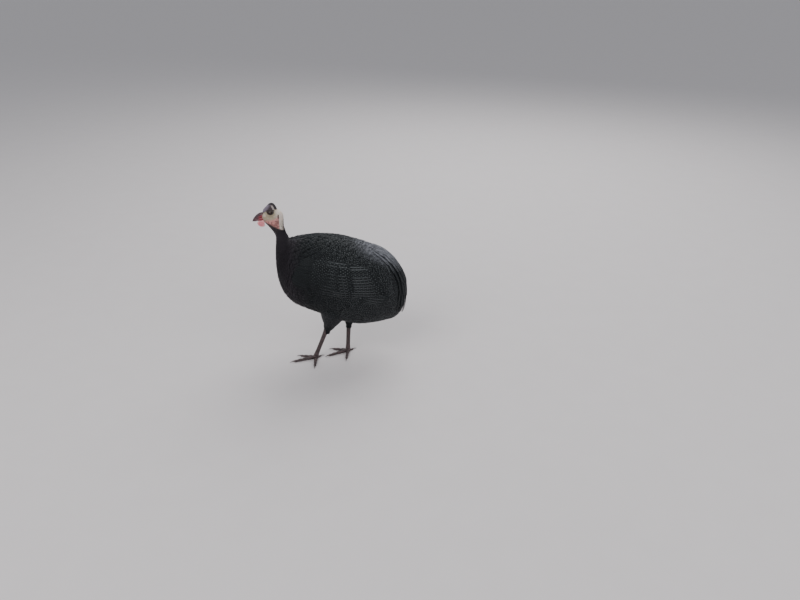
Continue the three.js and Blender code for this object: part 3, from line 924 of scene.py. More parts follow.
def large_vanes(book: MeshBook, trunk: Trunk, tier: Tier, side: int, rng: Generator, fan: bool) -> None:
    """Adds one tier: each feather a cambered vane with a raised shaft, tilted over the next.

    Args:
        book: Mesh to add it to.
        trunk: Surface that it lies on.
        tier: Its sizes.
        side: -1 for the left, 1 for the right.
        rng: Source of the small random differences.
        fan: Whether it spreads both ways from its middle feather, as in the tail.
    """
    f = np.linspace(0, 1, tier.count)
    first, last = np.array(tier.root, float)
    root = first + (last - first) * f[:, None]
    first, last = np.array(tier.tip, float)
    tip = first + (last - first) * f[:, None] + rng.normal(0, 1, (tier.count, 2)) * tier.stray
    lean = np.ones(tier.count)
    over = np.zeros(tier.count)
    calm = smooth_step(-0.1, 0.25, f) * smooth_step(1.1, 0.75, f)
    if fan:
        middle = 2 * f - 1
        root[:, 1] -= 3 * middle**2
        tip[:, 1] += 6 * middle**2
        lean = np.sign(np.round(middle, 6))
        over = 0.9 * (1 - np.abs(middle)) ** 4
        calm = smooth_step(1.12, 0.5, np.abs(middle))
    start, _ = trunk.at(*root.T, np.zeros(tier.count), side)
    end, _ = trunk.at(*tip.T, np.zeros(tier.count), side)
    length = np.linalg.norm(end - start, axis=-1)
    delta = tip - root
    reach = np.hypot(*delta.T)
    across = np.stack([-delta[:, 1], delta[:, 0]], -1) / reach[:, None]
    s, t = vane_grid(tier.rows, tier.columns)
    off = 0.5 * tier.width * vane_outline(s) * t * (reach / length)[:, None, None]
    ahead = s * (1 - 0.03 * t**2 * s)
    bearing, pitch = (
        root[:, n, None, None] + delta[:, n, None, None] * ahead + across[:, n, None, None] * off
        for n in range(2)
    )
    rise = tier.lift[0] + (tier.lift[1] - tier.lift[0]) * s**0.8 + over[:, None, None]
    rise = rise * calm[:, None, None] - tier.sunk_edge * (1 - calm[:, None, None])
    shaft = tier.shaft * bump(t, 0, 0.12)
    camber = tier.camber * (1 - t**2)
    tilt = tier.tilt * t * lean[:, None, None] * np.minimum(1, 3 * s)
    sunk = -tier.sunk_root * np.clip(1 - 6 * s, 0, 1)
    upper, ray = trunk.at(bearing, pitch, rise + shaft + camber + tilt + sunk, side)
    width, spacing = (np.full(tier.count, size) for size in (tier.width, tier.spacing))
    uv = vane_map(length, width, spacing, tier.rows, tier.columns)
    patch = np.stack([(root[:, 0] % 360) / 360, (root[:, 1] + 90) / 180], -1)
    dots, bars = tier.pattern.value
    tone = rng.uniform(0, 1, tier.count)
    marks = np.stack([dots * dot_strength(start[:, 0]), bars + 0 * f, tone, 0 * f], -1)
    many_vanes(book, upper, ray, tier.thick, patch, uv, marks)


@dataclass
class FoldedWing:
    """Folded wing: a thin bed on the flank, then flight feathers and coverts in tiers."""

    side: Side
    trunk: Trunk
    bed_bearing: Pair = (136.0, 58.0)
    bed_top: tuple[float, ...] = (41.0, 47.0, 49.0, 42.0)
    bed_low: tuple[float, ...] = (14.0, 8.0, 3.0, -6.0)
    bed_lift: Pair = (-1.6, 1.0)
    bed_thick: float = 1.2
    tiers: tuple[Tier, ...] = (
        Tier(
            "primaries", 5, 12,
            ((62, 2), (70, -9)), ((32, -6), (37, -17)), (0.6, 1.4), Pattern.BARS, 4.6,
        ),
        Tier(
            "secondaries", 12, 13.5,
            ((90, 46), (97, 4)), ((46, 38), (35, -6)), (1.6, 3.2), Pattern.BARS, 4.8,
        ),
        Tier(
            "greater coverts", 12, 14,
            ((114, 48), (120, 7)), ((80, 47), (74, 0)), (1.6, 4.0), Pattern.ROWS, 5.4,
        ),
        Tier(
            "median coverts", 11, 14,
            ((126, 48), (131, 9)), ((98, 49), (93, 4)), (1.5, 4.0), Pattern.ROWS, 5.2,
        ),
        Tier(
            "lesser coverts", 11, 13,
            ((136, 45), (140, 12)), ((113, 49), (110, 7)), (1.0, 3.8), Pattern.DOTS, 5.0,
        ),
        Tier(
            "shoulder coverts", 10, 12,
            ((144, 41), (148, 14)), ((126, 47), (123, 10)), (-0.8, 2.8), Pattern.DOTS, 4.8,
        ),
        Tier(
            "edge coverts", 10, 12,
            ((152, 38), (155, 13)), ((135, 46), (134, 9)), (-3.6, 2.2), Pattern.DOTS, 4.8,
        ),
    )

    def bed(self, book: MeshBook) -> None:
        """Adds the bed: a closed lens over the flank, highest in its middle.

        Its height runs from low to high with (sin(pi u) * sin(pi v))^0.4.

        Args:
            book: Mesh to add it to.
        """
        u, v = np.meshgrid(np.linspace(0, 1, 30), np.linspace(0, 1, 20), indexing="ij")
        front, rear = self.bed_bearing
        bearing = front + (rear - front) * u
        stops = [0, 0.33, 0.66, 1]
        top = np.interp(u, stops, self.bed_top)
        pitch = top + (np.interp(u, stops, self.bed_low) - top) * v
        crown = (np.sin(np.pi * u) * np.sin(np.pi * v)) ** 0.4
        low, high = self.bed_lift
        upper, ray = self.trunk.at(bearing, pitch, (high - low) * crown + low, self.side.value)
        uv = np.stack([u * 10, v * 6], -1)[None]
        marks = np.array([Marks.WING_BED.value])
        many_vanes(book, upper[None], ray[None], self.bed_thick, np.array([[0.9, 0.9]]), uv, marks)

    def build(self, finish: Material, rng: Generator) -> Object:
        """Makes the wing.

        Args:
            finish: Material of its feathers.
            rng: Source of the small random differences.
        Returns:
            The object.
        """
        book = MeshBook()
        self.bed(book)
        for tier in self.tiers:
            large_vanes(book, self.trunk, tier, self.side.value, rng, fan=False)
        name = f"wing_{self.side.word}"
        made = book.build(f"{name}_feathers", [finish])
        return dressed(made, "flight_feathers", name)


@dataclass
class DroopingTail:
    """Short drooping tail: the tail feathers, then tiers of coverts over their roots."""

    trunk: Trunk
    tiers: tuple[Tier, ...] = (
        Tier(
            "tail feathers", 13, 17,
            ((-16, 14), (16, 14)), ((-22, -31), (22, -31)), (1.4, 3.0), Pattern.DIM, 4.6,
        ),
        Tier(
            "lowest coverts", 11, 17,
            ((-17, 22), (17, 22)), ((-22, -16), (22, -16)), (1.6, 4.0), Pattern.DIM, 5.0,
        ),
        Tier(
            "lower coverts", 11, 17,
            ((-17, 30), (17, 30)), ((-21, -3), (21, -3)), (1.6, 4.4), Pattern.DIM, 5.0,
        ),
        Tier(
            "middle coverts", 11, 16,
            ((-18, 38), (18, 38)), ((-22, 9), (22, 9)), (1.2, 4.2), Pattern.ROWS, 4.8,
        ),
        Tier(
            "upper coverts", 11, 16,
            ((-20, 46), (20, 46)), ((-24, 21), (24, 21)), (0.0, 3.6), Pattern.ROWS, 4.6,
        ),
        Tier(
            "rump feathers", 11, 15,
            ((-22, 53), (22, 53)), ((-26, 32), (26, 32)), (-2.0, 2.6), Pattern.DOTS, 4.4,
        ),
    )

    def build(self, finish: Material, rng: Generator) -> Object:
        """Makes the tail.

        Args:
            finish: Material of its feathers.
            rng: Source of the small random differences.
        Returns:
            The object.
        """
        book = MeshBook()
        for tier in self.tiers:
            large_vanes(book, self.trunk, tier, Side.LEFT.value, rng, fan=True)
        return dressed(book.build("tail_feathers", [finish]), "flight_feathers", "tail")


def dressed(piece: Object, slot: str, *nodes: str) -> Object:
    """Rides a piece on the body and stands it in for solids.

    Args:
        piece: The piece.
        slot: Not used.
        nodes: Solids that it replaces.
    Returns:
        The piece.
    """
    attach(piece, BODY)
    if nodes:
        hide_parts(*nodes)
    LOG.info("%s: %d faces", piece.name, len(piece.data.polygons))
    return piece


@dataclass
class Skin:
    """The one skin of flesh: body, neck and head in one sweep, with the bare legs joined to it."""

    shape: BodyShape
    columns: int = 168

    def rows(self) -> Array:
        """Places of the rings: every 4 mm on the body, down to half a millimetre on the head.

        Returns:
            Places along the sweep, in millimetres.
        """
        knots = self.shape.knots
        neck, bare = knots[self.shape.neck_station], knots[self.shape.bare_station]
        fine = np.linspace(0, knots[-1], 4000)
        step = np.interp(fine, [0, neck - 60, neck, bare, knots[-1]], [4.0, 3.6, 1.6, 0.62, 0.5])
        count = np.concatenate([[0], np.cumsum(np.diff(fine) / step[1:])])
        return np.interp(np.linspace(0, count[-1], int(count[-1]) + 1), count, fine)

    def relief(self, p: Array, u: Array) -> Array:
        """Height of the head's forms over the sweep, in millimetres.

        Sum of bell curves: a socket and brow round each eye, the ear's pit and rim, a cheek
        fold, the corner of the mouth, folds of the throat, and fine wrinkles.

        Args:
            p: Points of the sweep.
            u: Their places along it.
        Returns:
            Heights, to move points along their normals.
        """
        x, y, z = p[..., 0], np.abs(p[..., 1]), p[..., 2]
        lateral = smooth_step(4.0, 9.0, y)
        eye = np.hypot(x - EYE["x"], (z - EYE["z"]) * 1.12)
        ear = np.hypot(x - EAR["x"], (z - EAR["z"]) * 0.8)
        high = -2.6 * smooth_step(6.4, 3.6, eye) * lateral
        high = high + (1.3 * bump(eye, 7.4, 2.6) + 0.5 * bump(eye, 6.9, 0.9)) * lateral
        high = high + (0.7 * bump(ear, 3.1, 0.9) - 3.0 * smooth_step(2.4, 0.9, ear)) * lateral
        cheek = np.hypot((x - CHEEK["x"]) / 11, (z - CHEEK["z"]) / 4.6)
        high = high + 1.5 * bump(cheek, 0, 0.75) * lateral
        gape = np.hypot((x - GAPE["x"]) / 6, (z - GAPE["z"]) / 2.4)
        high = high + 1.3 * bump(gape, 0, 0.8) * lateral
        mouth = bump(z, 382.2 - 0.12 * (x + 178), 0.55) * smooth_step(-167, -171, x)
        high = high - 1.0 * mouth * lateral
        bare = self.shape.knots[self.shape.bare_station]
        naked = smooth_step(bare - 6, bare + 8, u)[:, None]
        fold = np.sin(1.15 * x + 0.8 * z + 1.6 * np.sin(0.5 * z + 0.13 * x * y * 0.2))
        wrinkle = np.sin(2.3 * z - 0.9 * x + 2.0 * np.sin(0.35 * x + 0.3 * y))
        throat = smooth_step(380, 368, z)
        return (high + 0.16 * fold * (0.5 + throat) + 0.09 * wrinkle) * naked

    def add(self, book: MeshBook) -> None:
        """Adds the sweep to a mesh.

        Args:
            book: The mesh.
        """
        u = self.rows()
        outline = self.shape.at(u, self.columns)
        normal = self.shape.normals(outline)
        skin = outline - normal * self.shape.depth(u)[:, None, None]
        skin = skin + normal * self.relief(skin, u)[..., None]
        points, faces = capped_tube(skin)
        v = np.arange(self.columns) / self.columns
        uv = np.stack(np.meshgrid(u, v, indexing="ij")[::-1], -1).reshape(-1, 2)
        uv = np.vstack([uv, [[0.5, u[0]], [0.5, u[-1]]]])
        neck = self.shape.knots[self.shape.neck_station]
        plain = smooth_step(neck - 118, neck - 62, uv[:, 1])
        bare = smooth_step(neck + 3, self.shape.knots[self.shape.bare_station] + 3, uv[:, 1])
        marks = np.stack([1 - plain, bare, np.full(len(uv), 0.5), plain], -1)
        vane = np.stack([uv[:, 0] * 84, uv[:, 1] / 5], -1)
        book.add(points, faces, {"Vane": vane}, marks)


@dataclass
class Lids:
    """Upper and lower lid of one eye: two arched rolls that meet at its corners."""

    side: Side
    half_length: float = 6.0
    reach_up: float = 4.4
    reach_down: float = 3.7
    least_y: float = 10.4
    roll: float = 0.45

    def add(self, book: MeshBook) -> None:
        """Adds both lids to the skin's mesh.

        A lid's middle line is x = -half_length * cos(a) and z = reach * sin(a)^0.85 from the
        eye, laid on the eyeball. Its roll is thickest in the middle.

        Args:
            book: The mesh.
        """
        t = np.linspace(0, 1, 34)
        arch = np.sin(np.pi * t)
        x = EYE["x"] - self.half_length * np.cos(np.pi * t)
        for reach in (self.reach_up, -self.reach_down):
            z = EYE["z"] + reach * arch**0.85
            away = np.hypot(x - EYE["x"], z - EYE["z"])
            ball = np.sqrt(np.maximum((EYE["radius"] + 0.2) ** 2 - away**2, 0.2))
            y = np.maximum(EYE["y"] - EYE["sunk"] + ball, self.least_y)
            path = np.stack([x, self.side.value * y, z], -1)
            size = self.roll * (1 + arch) * (1 + 0.1 * np.sin(30 * t))
            add_limb(book, sweep(path, size, size * 0.8, ACROSS, 12), Marks.LID)


@dataclass
class Leg:
    """One leg: feathered thigh, scaled shank, and a foot with four toes and claws."""

    side: Side
    thigh: Array
    hock: Array
    pad: Array
    toes: tuple[Triple, ...]
    shank_radius: float = 6.0
    scute: float = 4.4
    toe_scute: float = 3.0
    pad_reach: float = 7.2
    pad_half_width: float = 7.0
    pad_rise: float = 4.6
    claw_length: float = 12.0
    claw_overlap: float = 3.0
    coat: float = 3.2
    feather_rows: float = 3.9
    feather_gap: float = 4.8
    feather_width: float = 0.56
    dot_step: float = 4.4
    rows: int = 6
    columns: int = 5

    def shank(self, book: MeshBook, slot: int) -> None:
        """Adds the shank: a slim limb whose front rises in overlapping scutes.

        Over each scute, with saw from 0 to 1, the front rises by 0.55 * (1 - saw^2)
        millimetres. Behind it has a fine net.

        Args:
            book: Mesh to add it to.
            slot: Its material slot.
        """
        f = np.linspace(-0.14, 1.03, 150)
        path = self.hock + (self.pad - self.hock) * f[:, None]
        stops = [-0.14, -0.06, 0.05, 0.2, 0.5, 0.8, 0.96, 1.03]
        shares = [0.6, 0.98, 1.12, 0.95, 0.86, 0.88, 1.04, 0.8]
        size = self.shank_radius * np.interp(f, stops, shares)
        rings = sweep(path, size * 0.88, size, ACROSS, 28)
        out = unit(rings - path[:, None])
        front = smooth_step(-0.2, 0.7, -out[..., 0])
        run = f * np.linalg.norm(self.pad - self.hock)
        saw = (run / self.scute) % 1.0
        scute = 0.55 * (1 - saw**2) * smooth_step(0, 0.12, saw)
        around = np.arctan2(out[..., 1], out[..., 0])
        net = 0.16 * np.abs(np.sin(1.5 * run[:, None])) * np.abs(np.sin(5 * around))
        rings = rings + out * (front * scute[:, None] + (1 - front) * net)[..., None]
        add_limb(book, rings, Marks.SCALES, slot)

    def foot(self, book: MeshBook, slot: int) -> None:
        """Adds the pad and the toes, each with scutes above, pads below and a flat sole.

        Args:
            book: Mesh to add it to.
            slot: Its material slot.
        """
        angle = np.linspace(0, np.pi, 16)
        x = self.pad[0] - self.pad_reach * np.cos(angle)
        heart = np.stack([x, self.pad[1] + 0 * x, FLOOR + self.pad_rise + 0 * x], -1)
        wide = self.pad_half_width * np.sin(angle) + 0.2
        rings = sweep(heart, wide, 0.74 * wide, ACROSS, 20)
        add_limb(book, above_floor(rings, 0.05), Marks.SCALES, slot)
        for heading, length, radius in self.toes:
            ahead, across = directions(heading)
            s = np.linspace(0, 1, 70)
            joints = max(2, round(length / 13))
            size = radius * (1 - 0.36 * s) * (1 + 0.09 * np.cos(2 * np.pi * joints * s))
            size = size * np.sqrt(np.clip(1 - (np.clip(s - 0.93, 0, 1) / 0.075) ** 2, 0.06, 1))
            path = self.pad * [1, 1, 0] + ahead * (length * s)[:, None]
            path[:, 2] = FLOOR + size * 0.8 + 2.6 * np.exp(-s * 5.0)
            rings = sweep(path, size * 1.02, size * 0.92, across, 22)
            out = unit(rings - path[:, None])
            saw = (s * length / self.toe_scute) % 1.0
            scute = 0.34 * (1 - saw**2) * smooth_step(0, 0.15, saw)
            rings = rings + out * (smooth_step(0.1, 0.7, out[..., 2]) * scute[:, None])[..., None]
            add_limb(book, above_floor(rings, 0.05), Marks.SCALES, slot)

    def claws(self, finish: Material) -> None:
        """Makes the claws: each a tapered horn that leaves its toe and curves down.

        Args:
            finish: Their material.
        """
        for number, (heading, length, toe_radius) in enumerate(self.toes, 1):
            ahead, across = directions(heading)
            s = np.linspace(0, 1, 30)
            radius = toe_radius * 0.62
            run = length - self.claw_overlap + (self.claw_length + self.claw_overlap) * s
            path = self.pad * [1, 1, 0] + ahead * run[:, None]
            arch = radius * (0.98 + 0.25 * np.sin(np.pi * s * 0.9))
            path[:, 2] = FLOOR + arch * (1 - s**3) + 0.55 * s**3
            size = radius * 0.64 * np.sqrt(np.clip(1 - s, 0, 1)) ** 1.4 + 0.08
            rings = above_floor(sweep(path, size * 0.82, size, across, 16), 0.12)
            book = MeshBook()
            book.add(*capped_tube(rings))
            name = f"claw_{self.side.word}_{number}"
            dressed(book.build(f"{name}_horn", [finish]), "claw", name)

    def thigh_skin(self, book: MeshBook) -> None:
        """Adds the flesh of the thigh, a tapered limb that ends in the hock.

        Args:
            book: Mesh to add it to.
        """
        path, size = self.thigh_line(40)
        rings = sweep(path, size - self.coat, size - self.coat, ACROSS, 40)
        add_limb(book, rings, Marks.THIGH)

    def thigh_line(self, count: int) -> tuple[Array, Array]:
        """Centre line and radius of the thigh.

        Args:
            count: Points along it.
        Returns:
            Points, and radii in millimetres.
        """
        knots = np.arange(len(self.thigh)) * 1.0
        table = through(knots, self.thigh, np.linspace(0, knots[-1], count))
        return table[:, :3], np.maximum(table[:, 3], 3.6)

    def feathers(self, book: MeshBook, rng: Generator) -> None:
        """Adds the thigh's feathers: rings of short vanes that hang down the limb.

        Args:
            book: Mesh to add it to.
            rng: Source of the small random differences.
        """
        path, size = self.thigh_line(60)
        side, up = path_frames(path, ACROSS)
        down = unit(path[-1] - path[-2])
        run = np.concatenate([[0], np.cumsum(np.linalg.norm(np.diff(path, axis=0), axis=1))])
        s, t = vane_grid(self.rows, self.columns)
        starts = np.arange(run[-1] * 0.12, run[-1] * 0.99, self.feather_rows)
        for number, start in enumerate(starts):
            radius = np.interp(start, run, size)
            count = max(7, int(2 * np.pi * radius / self.feather_gap))
            length = np.full(count, 11 + 0.28 * radius) * rng.uniform(0.9, 1.1, count)
            even = (np.arange(count) + 0.5 * (number % 2)) / count * 2 * np.pi
            turn = even + rng.normal(0, 0.05, count)
            place = np.minimum(start + length[:, None, None] * s, run[-1] + 7) + 0 * t
            beyond = np.maximum(place - run[-1], 0)
            read = np.interp(place, run, np.arange(len(run)))
            low, share = read.astype(int), (read % 1.0)[..., None]
            high = np.minimum(low + 1, len(run) - 1)
            centre, beside, above = (
                each[low] * (1 - share) + each[high] * share for each in (path, side, up)
            )
            here = np.interp(place, run, size)
            wide = 0.5 * length[:, None, None] * self.feather_width * vane_outline(s) * t
            around = turn[:, None, None] + wide / np.maximum(here, 5)
            height = here - 2.6 + 3.2 * s + 0.3 * (1 - t**2) * s
            out = beside * np.cos(around)[..., None] + above * np.sin(around)[..., None]
            points = centre + out * height[..., None] + down * beyond[..., None]
            steps = np.full(count, self.dot_step)
            uv = vane_map(length, length * self.feather_width, steps, self.rows, self.columns)
            unwrap_row = np.full(count, 0.02 + 0.9 * start / run[-1])
            patch = np.stack([turn / (2 * np.pi) % 1, unwrap_row], -1)
            dots = 0.45 * smooth_step(run[-1] * 0.85, run[-1] * 0.35, np.full(count, start))
            marks = np.stack([dots, 0 * dots, rng.uniform(0, 1, count), 0 * dots], -1)
            many_vanes(book, points, out, 0.25, patch, uv, marks)


def directions(heading: float) -> tuple[Array, Array]:
    """Level directions along a heading and at right angles to it.

    Args:
        heading: Degrees round from the tail, towards the bird's right.
    Returns:
        The direction ahead, and the one across.
    """
    turn = np.radians(heading)
    ahead = np.array([np.cos(turn), np.sin(turn), 0.0])
    return ahead, np.array([-ahead[1], ahead[0], 0.0])


@dataclass
class Casque:
    """Bony helmet of level oval sections with growth ridges.

    Each station is the middle's x, its height z, the half length and the half width.
    """

    stations: Table = (
        (-157.6, 394, 17.2, 6.6),
        (-158, 397, 17.4, 6.3),
        (-157, 403, 15.6, 5.1),
        (-155.3, 409, 11.8, 3.9),
        (-154.1, 413.8, 7.8, 2.9),
        (-153.8, 416.8, 4.4, 1.9),
        (-153.8, 418.1, 0.9, 0.5),
    )

    def build(self, finish: Material) -> Object:
        """Makes the casque: x + long * cos(a) * ridge, wide * |sin(a)|^0.9 * ridge, with its sign.

        Args:
            finish: Its material.
        Returns:
            The object.
        """
        s = np.array(self.stations)
        z = np.linspace(s[0, 1], s[-1, 1], 70)
        x, _, long, wide = through(s[:, 1], s, z).T
        angle = np.linspace(0, 2 * np.pi, 72, endpoint=False)
        ridge = 1 + 0.035 * np.sin(9 * angle[None] + 0.25 * z[:, None]) * np.abs(np.sin(angle))[None]
        ridge = ridge + 0.02 * np.sin(1.3 * z)[:, None]
        rings = np.stack(
            [
                x[:, None] + long[:, None] * np.cos(angle) * ridge,
                wide[:, None] * np.sign(np.sin(angle)) * np.abs(np.sin(angle)) ** 0.9 * ridge,
                z[:, None] + 0 * angle,
            ],
            -1,
        )
        book = MeshBook()
        book.add(*capped_tube(rings))
        return dressed(book.build("casque_horn", [finish]), "horn", "casque")


@dataclass
class Bill:
    """Both halves of the bill, each a sweep of half-round sections, with nostrils above.

    Each station is x, z, half width, reach up and reach down.
    """

    upper: Table = (
        (-169, 387, 7.0, 7.0, 4.6),
        (-173, 387.2, 7.3, 7.5, 4.7),
        (-181, 386.6, 6.3, 7.9, 4.5),
        (-189, 384, 4.5, 6.5, 4.7),
        (-195.5, 379.8, 3.2, 4.5, 4.5),
        (-199.6, 376, 1.9, 2.7, 3.4),
        (-201.6, 373.4, 0.3, 0.5, 0.6),
    )
    lower: Table = (
        (-168, 379.6, 5.8, 4.2, 3.8),
        (-172, 379.8, 6.1, 4.4, 4.0),
        (-181, 378.8, 5.0, 4.4, 3.6),
        (-189, 376.6, 3.3, 3.9, 2.6),
        (-195.5, 374.4, 2.2, 2.6, 1.9),
        (-199.0, 373.6, 0.4, 0.5, 0.5),
    )
    nostril: Pair = (-180.4, 389.3)

    def half(self, stations: Table, name: str, finish: Material, nostrils: bool) -> Object:
        """Makes one half: centre + width * cos(a), and reach up or down * sin(a).

        Args:
            stations: Its stations.
            name: Name of the solid that it replaces.
            finish: Its material.
            nostrils: Whether it has the nostrils.
        Returns:
            The object.
        """
        table = np.array(stations)
        x = np.linspace(table[0, 0], table[-1, 0], 110)
        values = through(-table[:, 0], table[:, 1:], -x)
        z, wide, up, down = np.maximum(values, [0, 0.15, 0.15, 0.15]).T
        angle = np.linspace(0, 2 * np.pi, 56, endpoint=False)
        sin = np.sin(angle)
        reach = np.where(sin > 0, up[:, None], down[:, None])
        y = wide[:, None] * np.cos(angle)
        rings = np.stack([x[:, None] + 0 * angle, y, z[:, None] + reach * sin], -1)
        if nostrils:
            ahead = rings[..., 0] - self.nostril[0]
            away = np.hypot(ahead / 2.6, rings[..., 2] - self.nostril[1] + 0.25 * ahead)
            deep = 1.7 * smooth_step(1.15, 0.55, away) - 0.35 * bump(away, 1.5, 0.35)
            rings[..., 1] -= np.sign(y) * deep * smooth_step(2.0, 4.0, np.abs(y))
        book = MeshBook()
        book.add(*capped_tube(rings))
        return dressed(book.build(f"{name}_horn", [finish]), "bill", name)

    def build(self, finish: Material) -> None:
        """Makes both halves.

        Args:
            finish: Their material.
        """
        self.half(self.upper, "bill_upper", finish, True)
        self.half(self.lower, "bill_lower", finish, False)


@dataclass
class Wattle:
    """Lobe of bare skin that hangs from the corner of the mouth, thick at its rim."""

    side: Side
    middle: Pair = (-180.8, 368.6)
    long: float = 17.5
    deep: float = 13.5
    thick: float = 1.35
    root_rise: float = 7.0  # how much its top climbs towards the corner of the mouth

    def build(self, finish: Material) -> Object:
        """Makes the wattle: a flat ball in polar form, with a rolled rim and soft folds.

        Args:
            finish: Its material.
        Returns:
            The object.
        """
        turn = np.linspace(0, 2 * np.pi, 72, endpoint=False)
        over = np.linspace(0.03, np.pi - 0.03, 44)
        reach = np.sin(over)[:, None]
        cos, sin = np.cos(turn), np.sin(turn)
        x = self.middle[0] - 0.5 * self.long * reach * cos * (1 + 0.1 * np.sin(2 * turn))
        z = self.middle[1] + 0.5 * self.deep * reach * sin * (1 - 0.12 * cos) - 0.12 * (x + 172)
        z = z + self.root_rise * smooth_step(-180, -172.5, x) * np.maximum(reach * sin, 0)
        rim = 1.0 + 0.75 * smooth_step(0.55, 0.9, np.sin(over))[:, None]
        fold = 0.5 * np.sin(0.75 * x + 0.4 * z) + 0.25 * np.sin(1.7 * z)
        out = 8.6 + 0.30 * (375 - z) + fold * smooth_step(375, 369, z)
        y = self.side.value * (out + self.thick * rim * np.cos(over)[:, None])
        rings = np.stack([x, y, z], -1)
        book = MeshBook()
        book.add(*capped_tube(rings))
        name = f"wattle_{self.side.word}"
        return dressed(book.build(f"{name}_skin", [finish]), "wattle", name)


@dataclass
class Eye:
    """Eyeball with a slightly proud cornea."""

    side: Side
    cornea: float = 0.4

    def build(self, finish: Material) -> Object:
        """Makes the eyeball: a sphere round Y with its outer pole raised by the cornea.

        Args:
            finish: Its material.
        Returns:
            The object.
        """
        polar = np.linspace(0.02, np.pi - 0.02, 40)[:, None]
        turn = np.linspace(0, 2 * np.pi, 64, endpoint=False)
        radius = EYE["radius"] + self.cornea * smooth_step(0.85, 0.3, polar)
        y = self.side.value * (EYE["y"] - EYE["sunk"] + radius * np.cos(polar)) + 0 * turn
        x = EYE["x"] + radius * np.sin(polar) * np.cos(turn)
        z = EYE["z"] + radius * np.sin(polar) * np.sin(turn)
        book = MeshBook()
        book.add(*capped_tube(np.stack([x, y, z], -1)))
        name = f"eye_{self.side.word}"
        return dressed(book.build(f"{name}_ball", [finish]), "eye", name)


@dataclass
class Bristles:
    """Thin dark hair-like feathers up the nape."""

    field: Field
    count: int = 420
    lengths: Pair = (4.5, 8.0)
    radius: float = 0.16
    lean: float = 0.42

    def build(self, finish: Material, rng: Generator) -> Object:
        """Makes the bristles: three-sided spikes that rise off the skin and bend back.

        Args:
            finish: Their material.
            rng: Source of the random draw.
        Returns:
            The object.
        """
        shape = self.field.shape
        low, high = shape.knots[shape.bare_station] + np.array([-12, 26])
        u = low + (high - low) * rng.beta(1.0, 1.7, self.count)
        v = rng.normal(0, 0.075, self.count) % 1
        root = self.field.read(self.field.skin, u, v)
        normal = unit(self.field.read(self.field.normal, u, v))
        ahead = unit(self.field.read(self.field.skin, u - 1.5, v) - root)
        length = rng.uniform(*self.lengths, self.count)[:, None, None]
        s = np.linspace(0, 1, 5)[None, :, None]
        rise = normal[:, None] * self.lean * (s - 0.55 * s**2)
        path = root[:, None] - 0.3 * normal[:, None] + (ahead[:, None] * s + rise) * length
        side = np.cross(ahead, normal)
        size = self.radius * (1 - 0.85 * s)
        turns = np.array([0, 2, 4])[:, None] * np.pi / 3
        ring = side[:, None, None] * np.cos(turns) + normal[:, None, None] * np.sin(turns)
        rings = path[:, :, None] + ring * size[..., None]
        book = MeshBook()
        per = rings.shape[1] * 3 + 2
        ends = [rings[:, :1].mean(2), rings[:, -1:].mean(2)]
        points = np.concatenate([rings.reshape(self.count, -1, 3), *ends], 1)
        _, faces = capped_tube(rings[0])
        numbers = faces[None] + (np.arange(self.count) * per)[:, None, None]
        patch = np.stack([v, u / self.field.u[-1]], -1)
        spread = np.linspace(0, PATCH, per)[:, None]
        bake = (patch[:, None] + spread[None]).reshape(-1, 2)
        marks = np.tile(Marks.BRISTLE.value, (self.count * per, 1))
        uv = {"OFBake": bake, "Vane": np.zeros_like(bake)}
        book.add(points.reshape(-1, 3), numbers.reshape(-1, 4), uv, marks)
        return dressed(book.build("nape_bristles", [finish]), "neck_plumage")


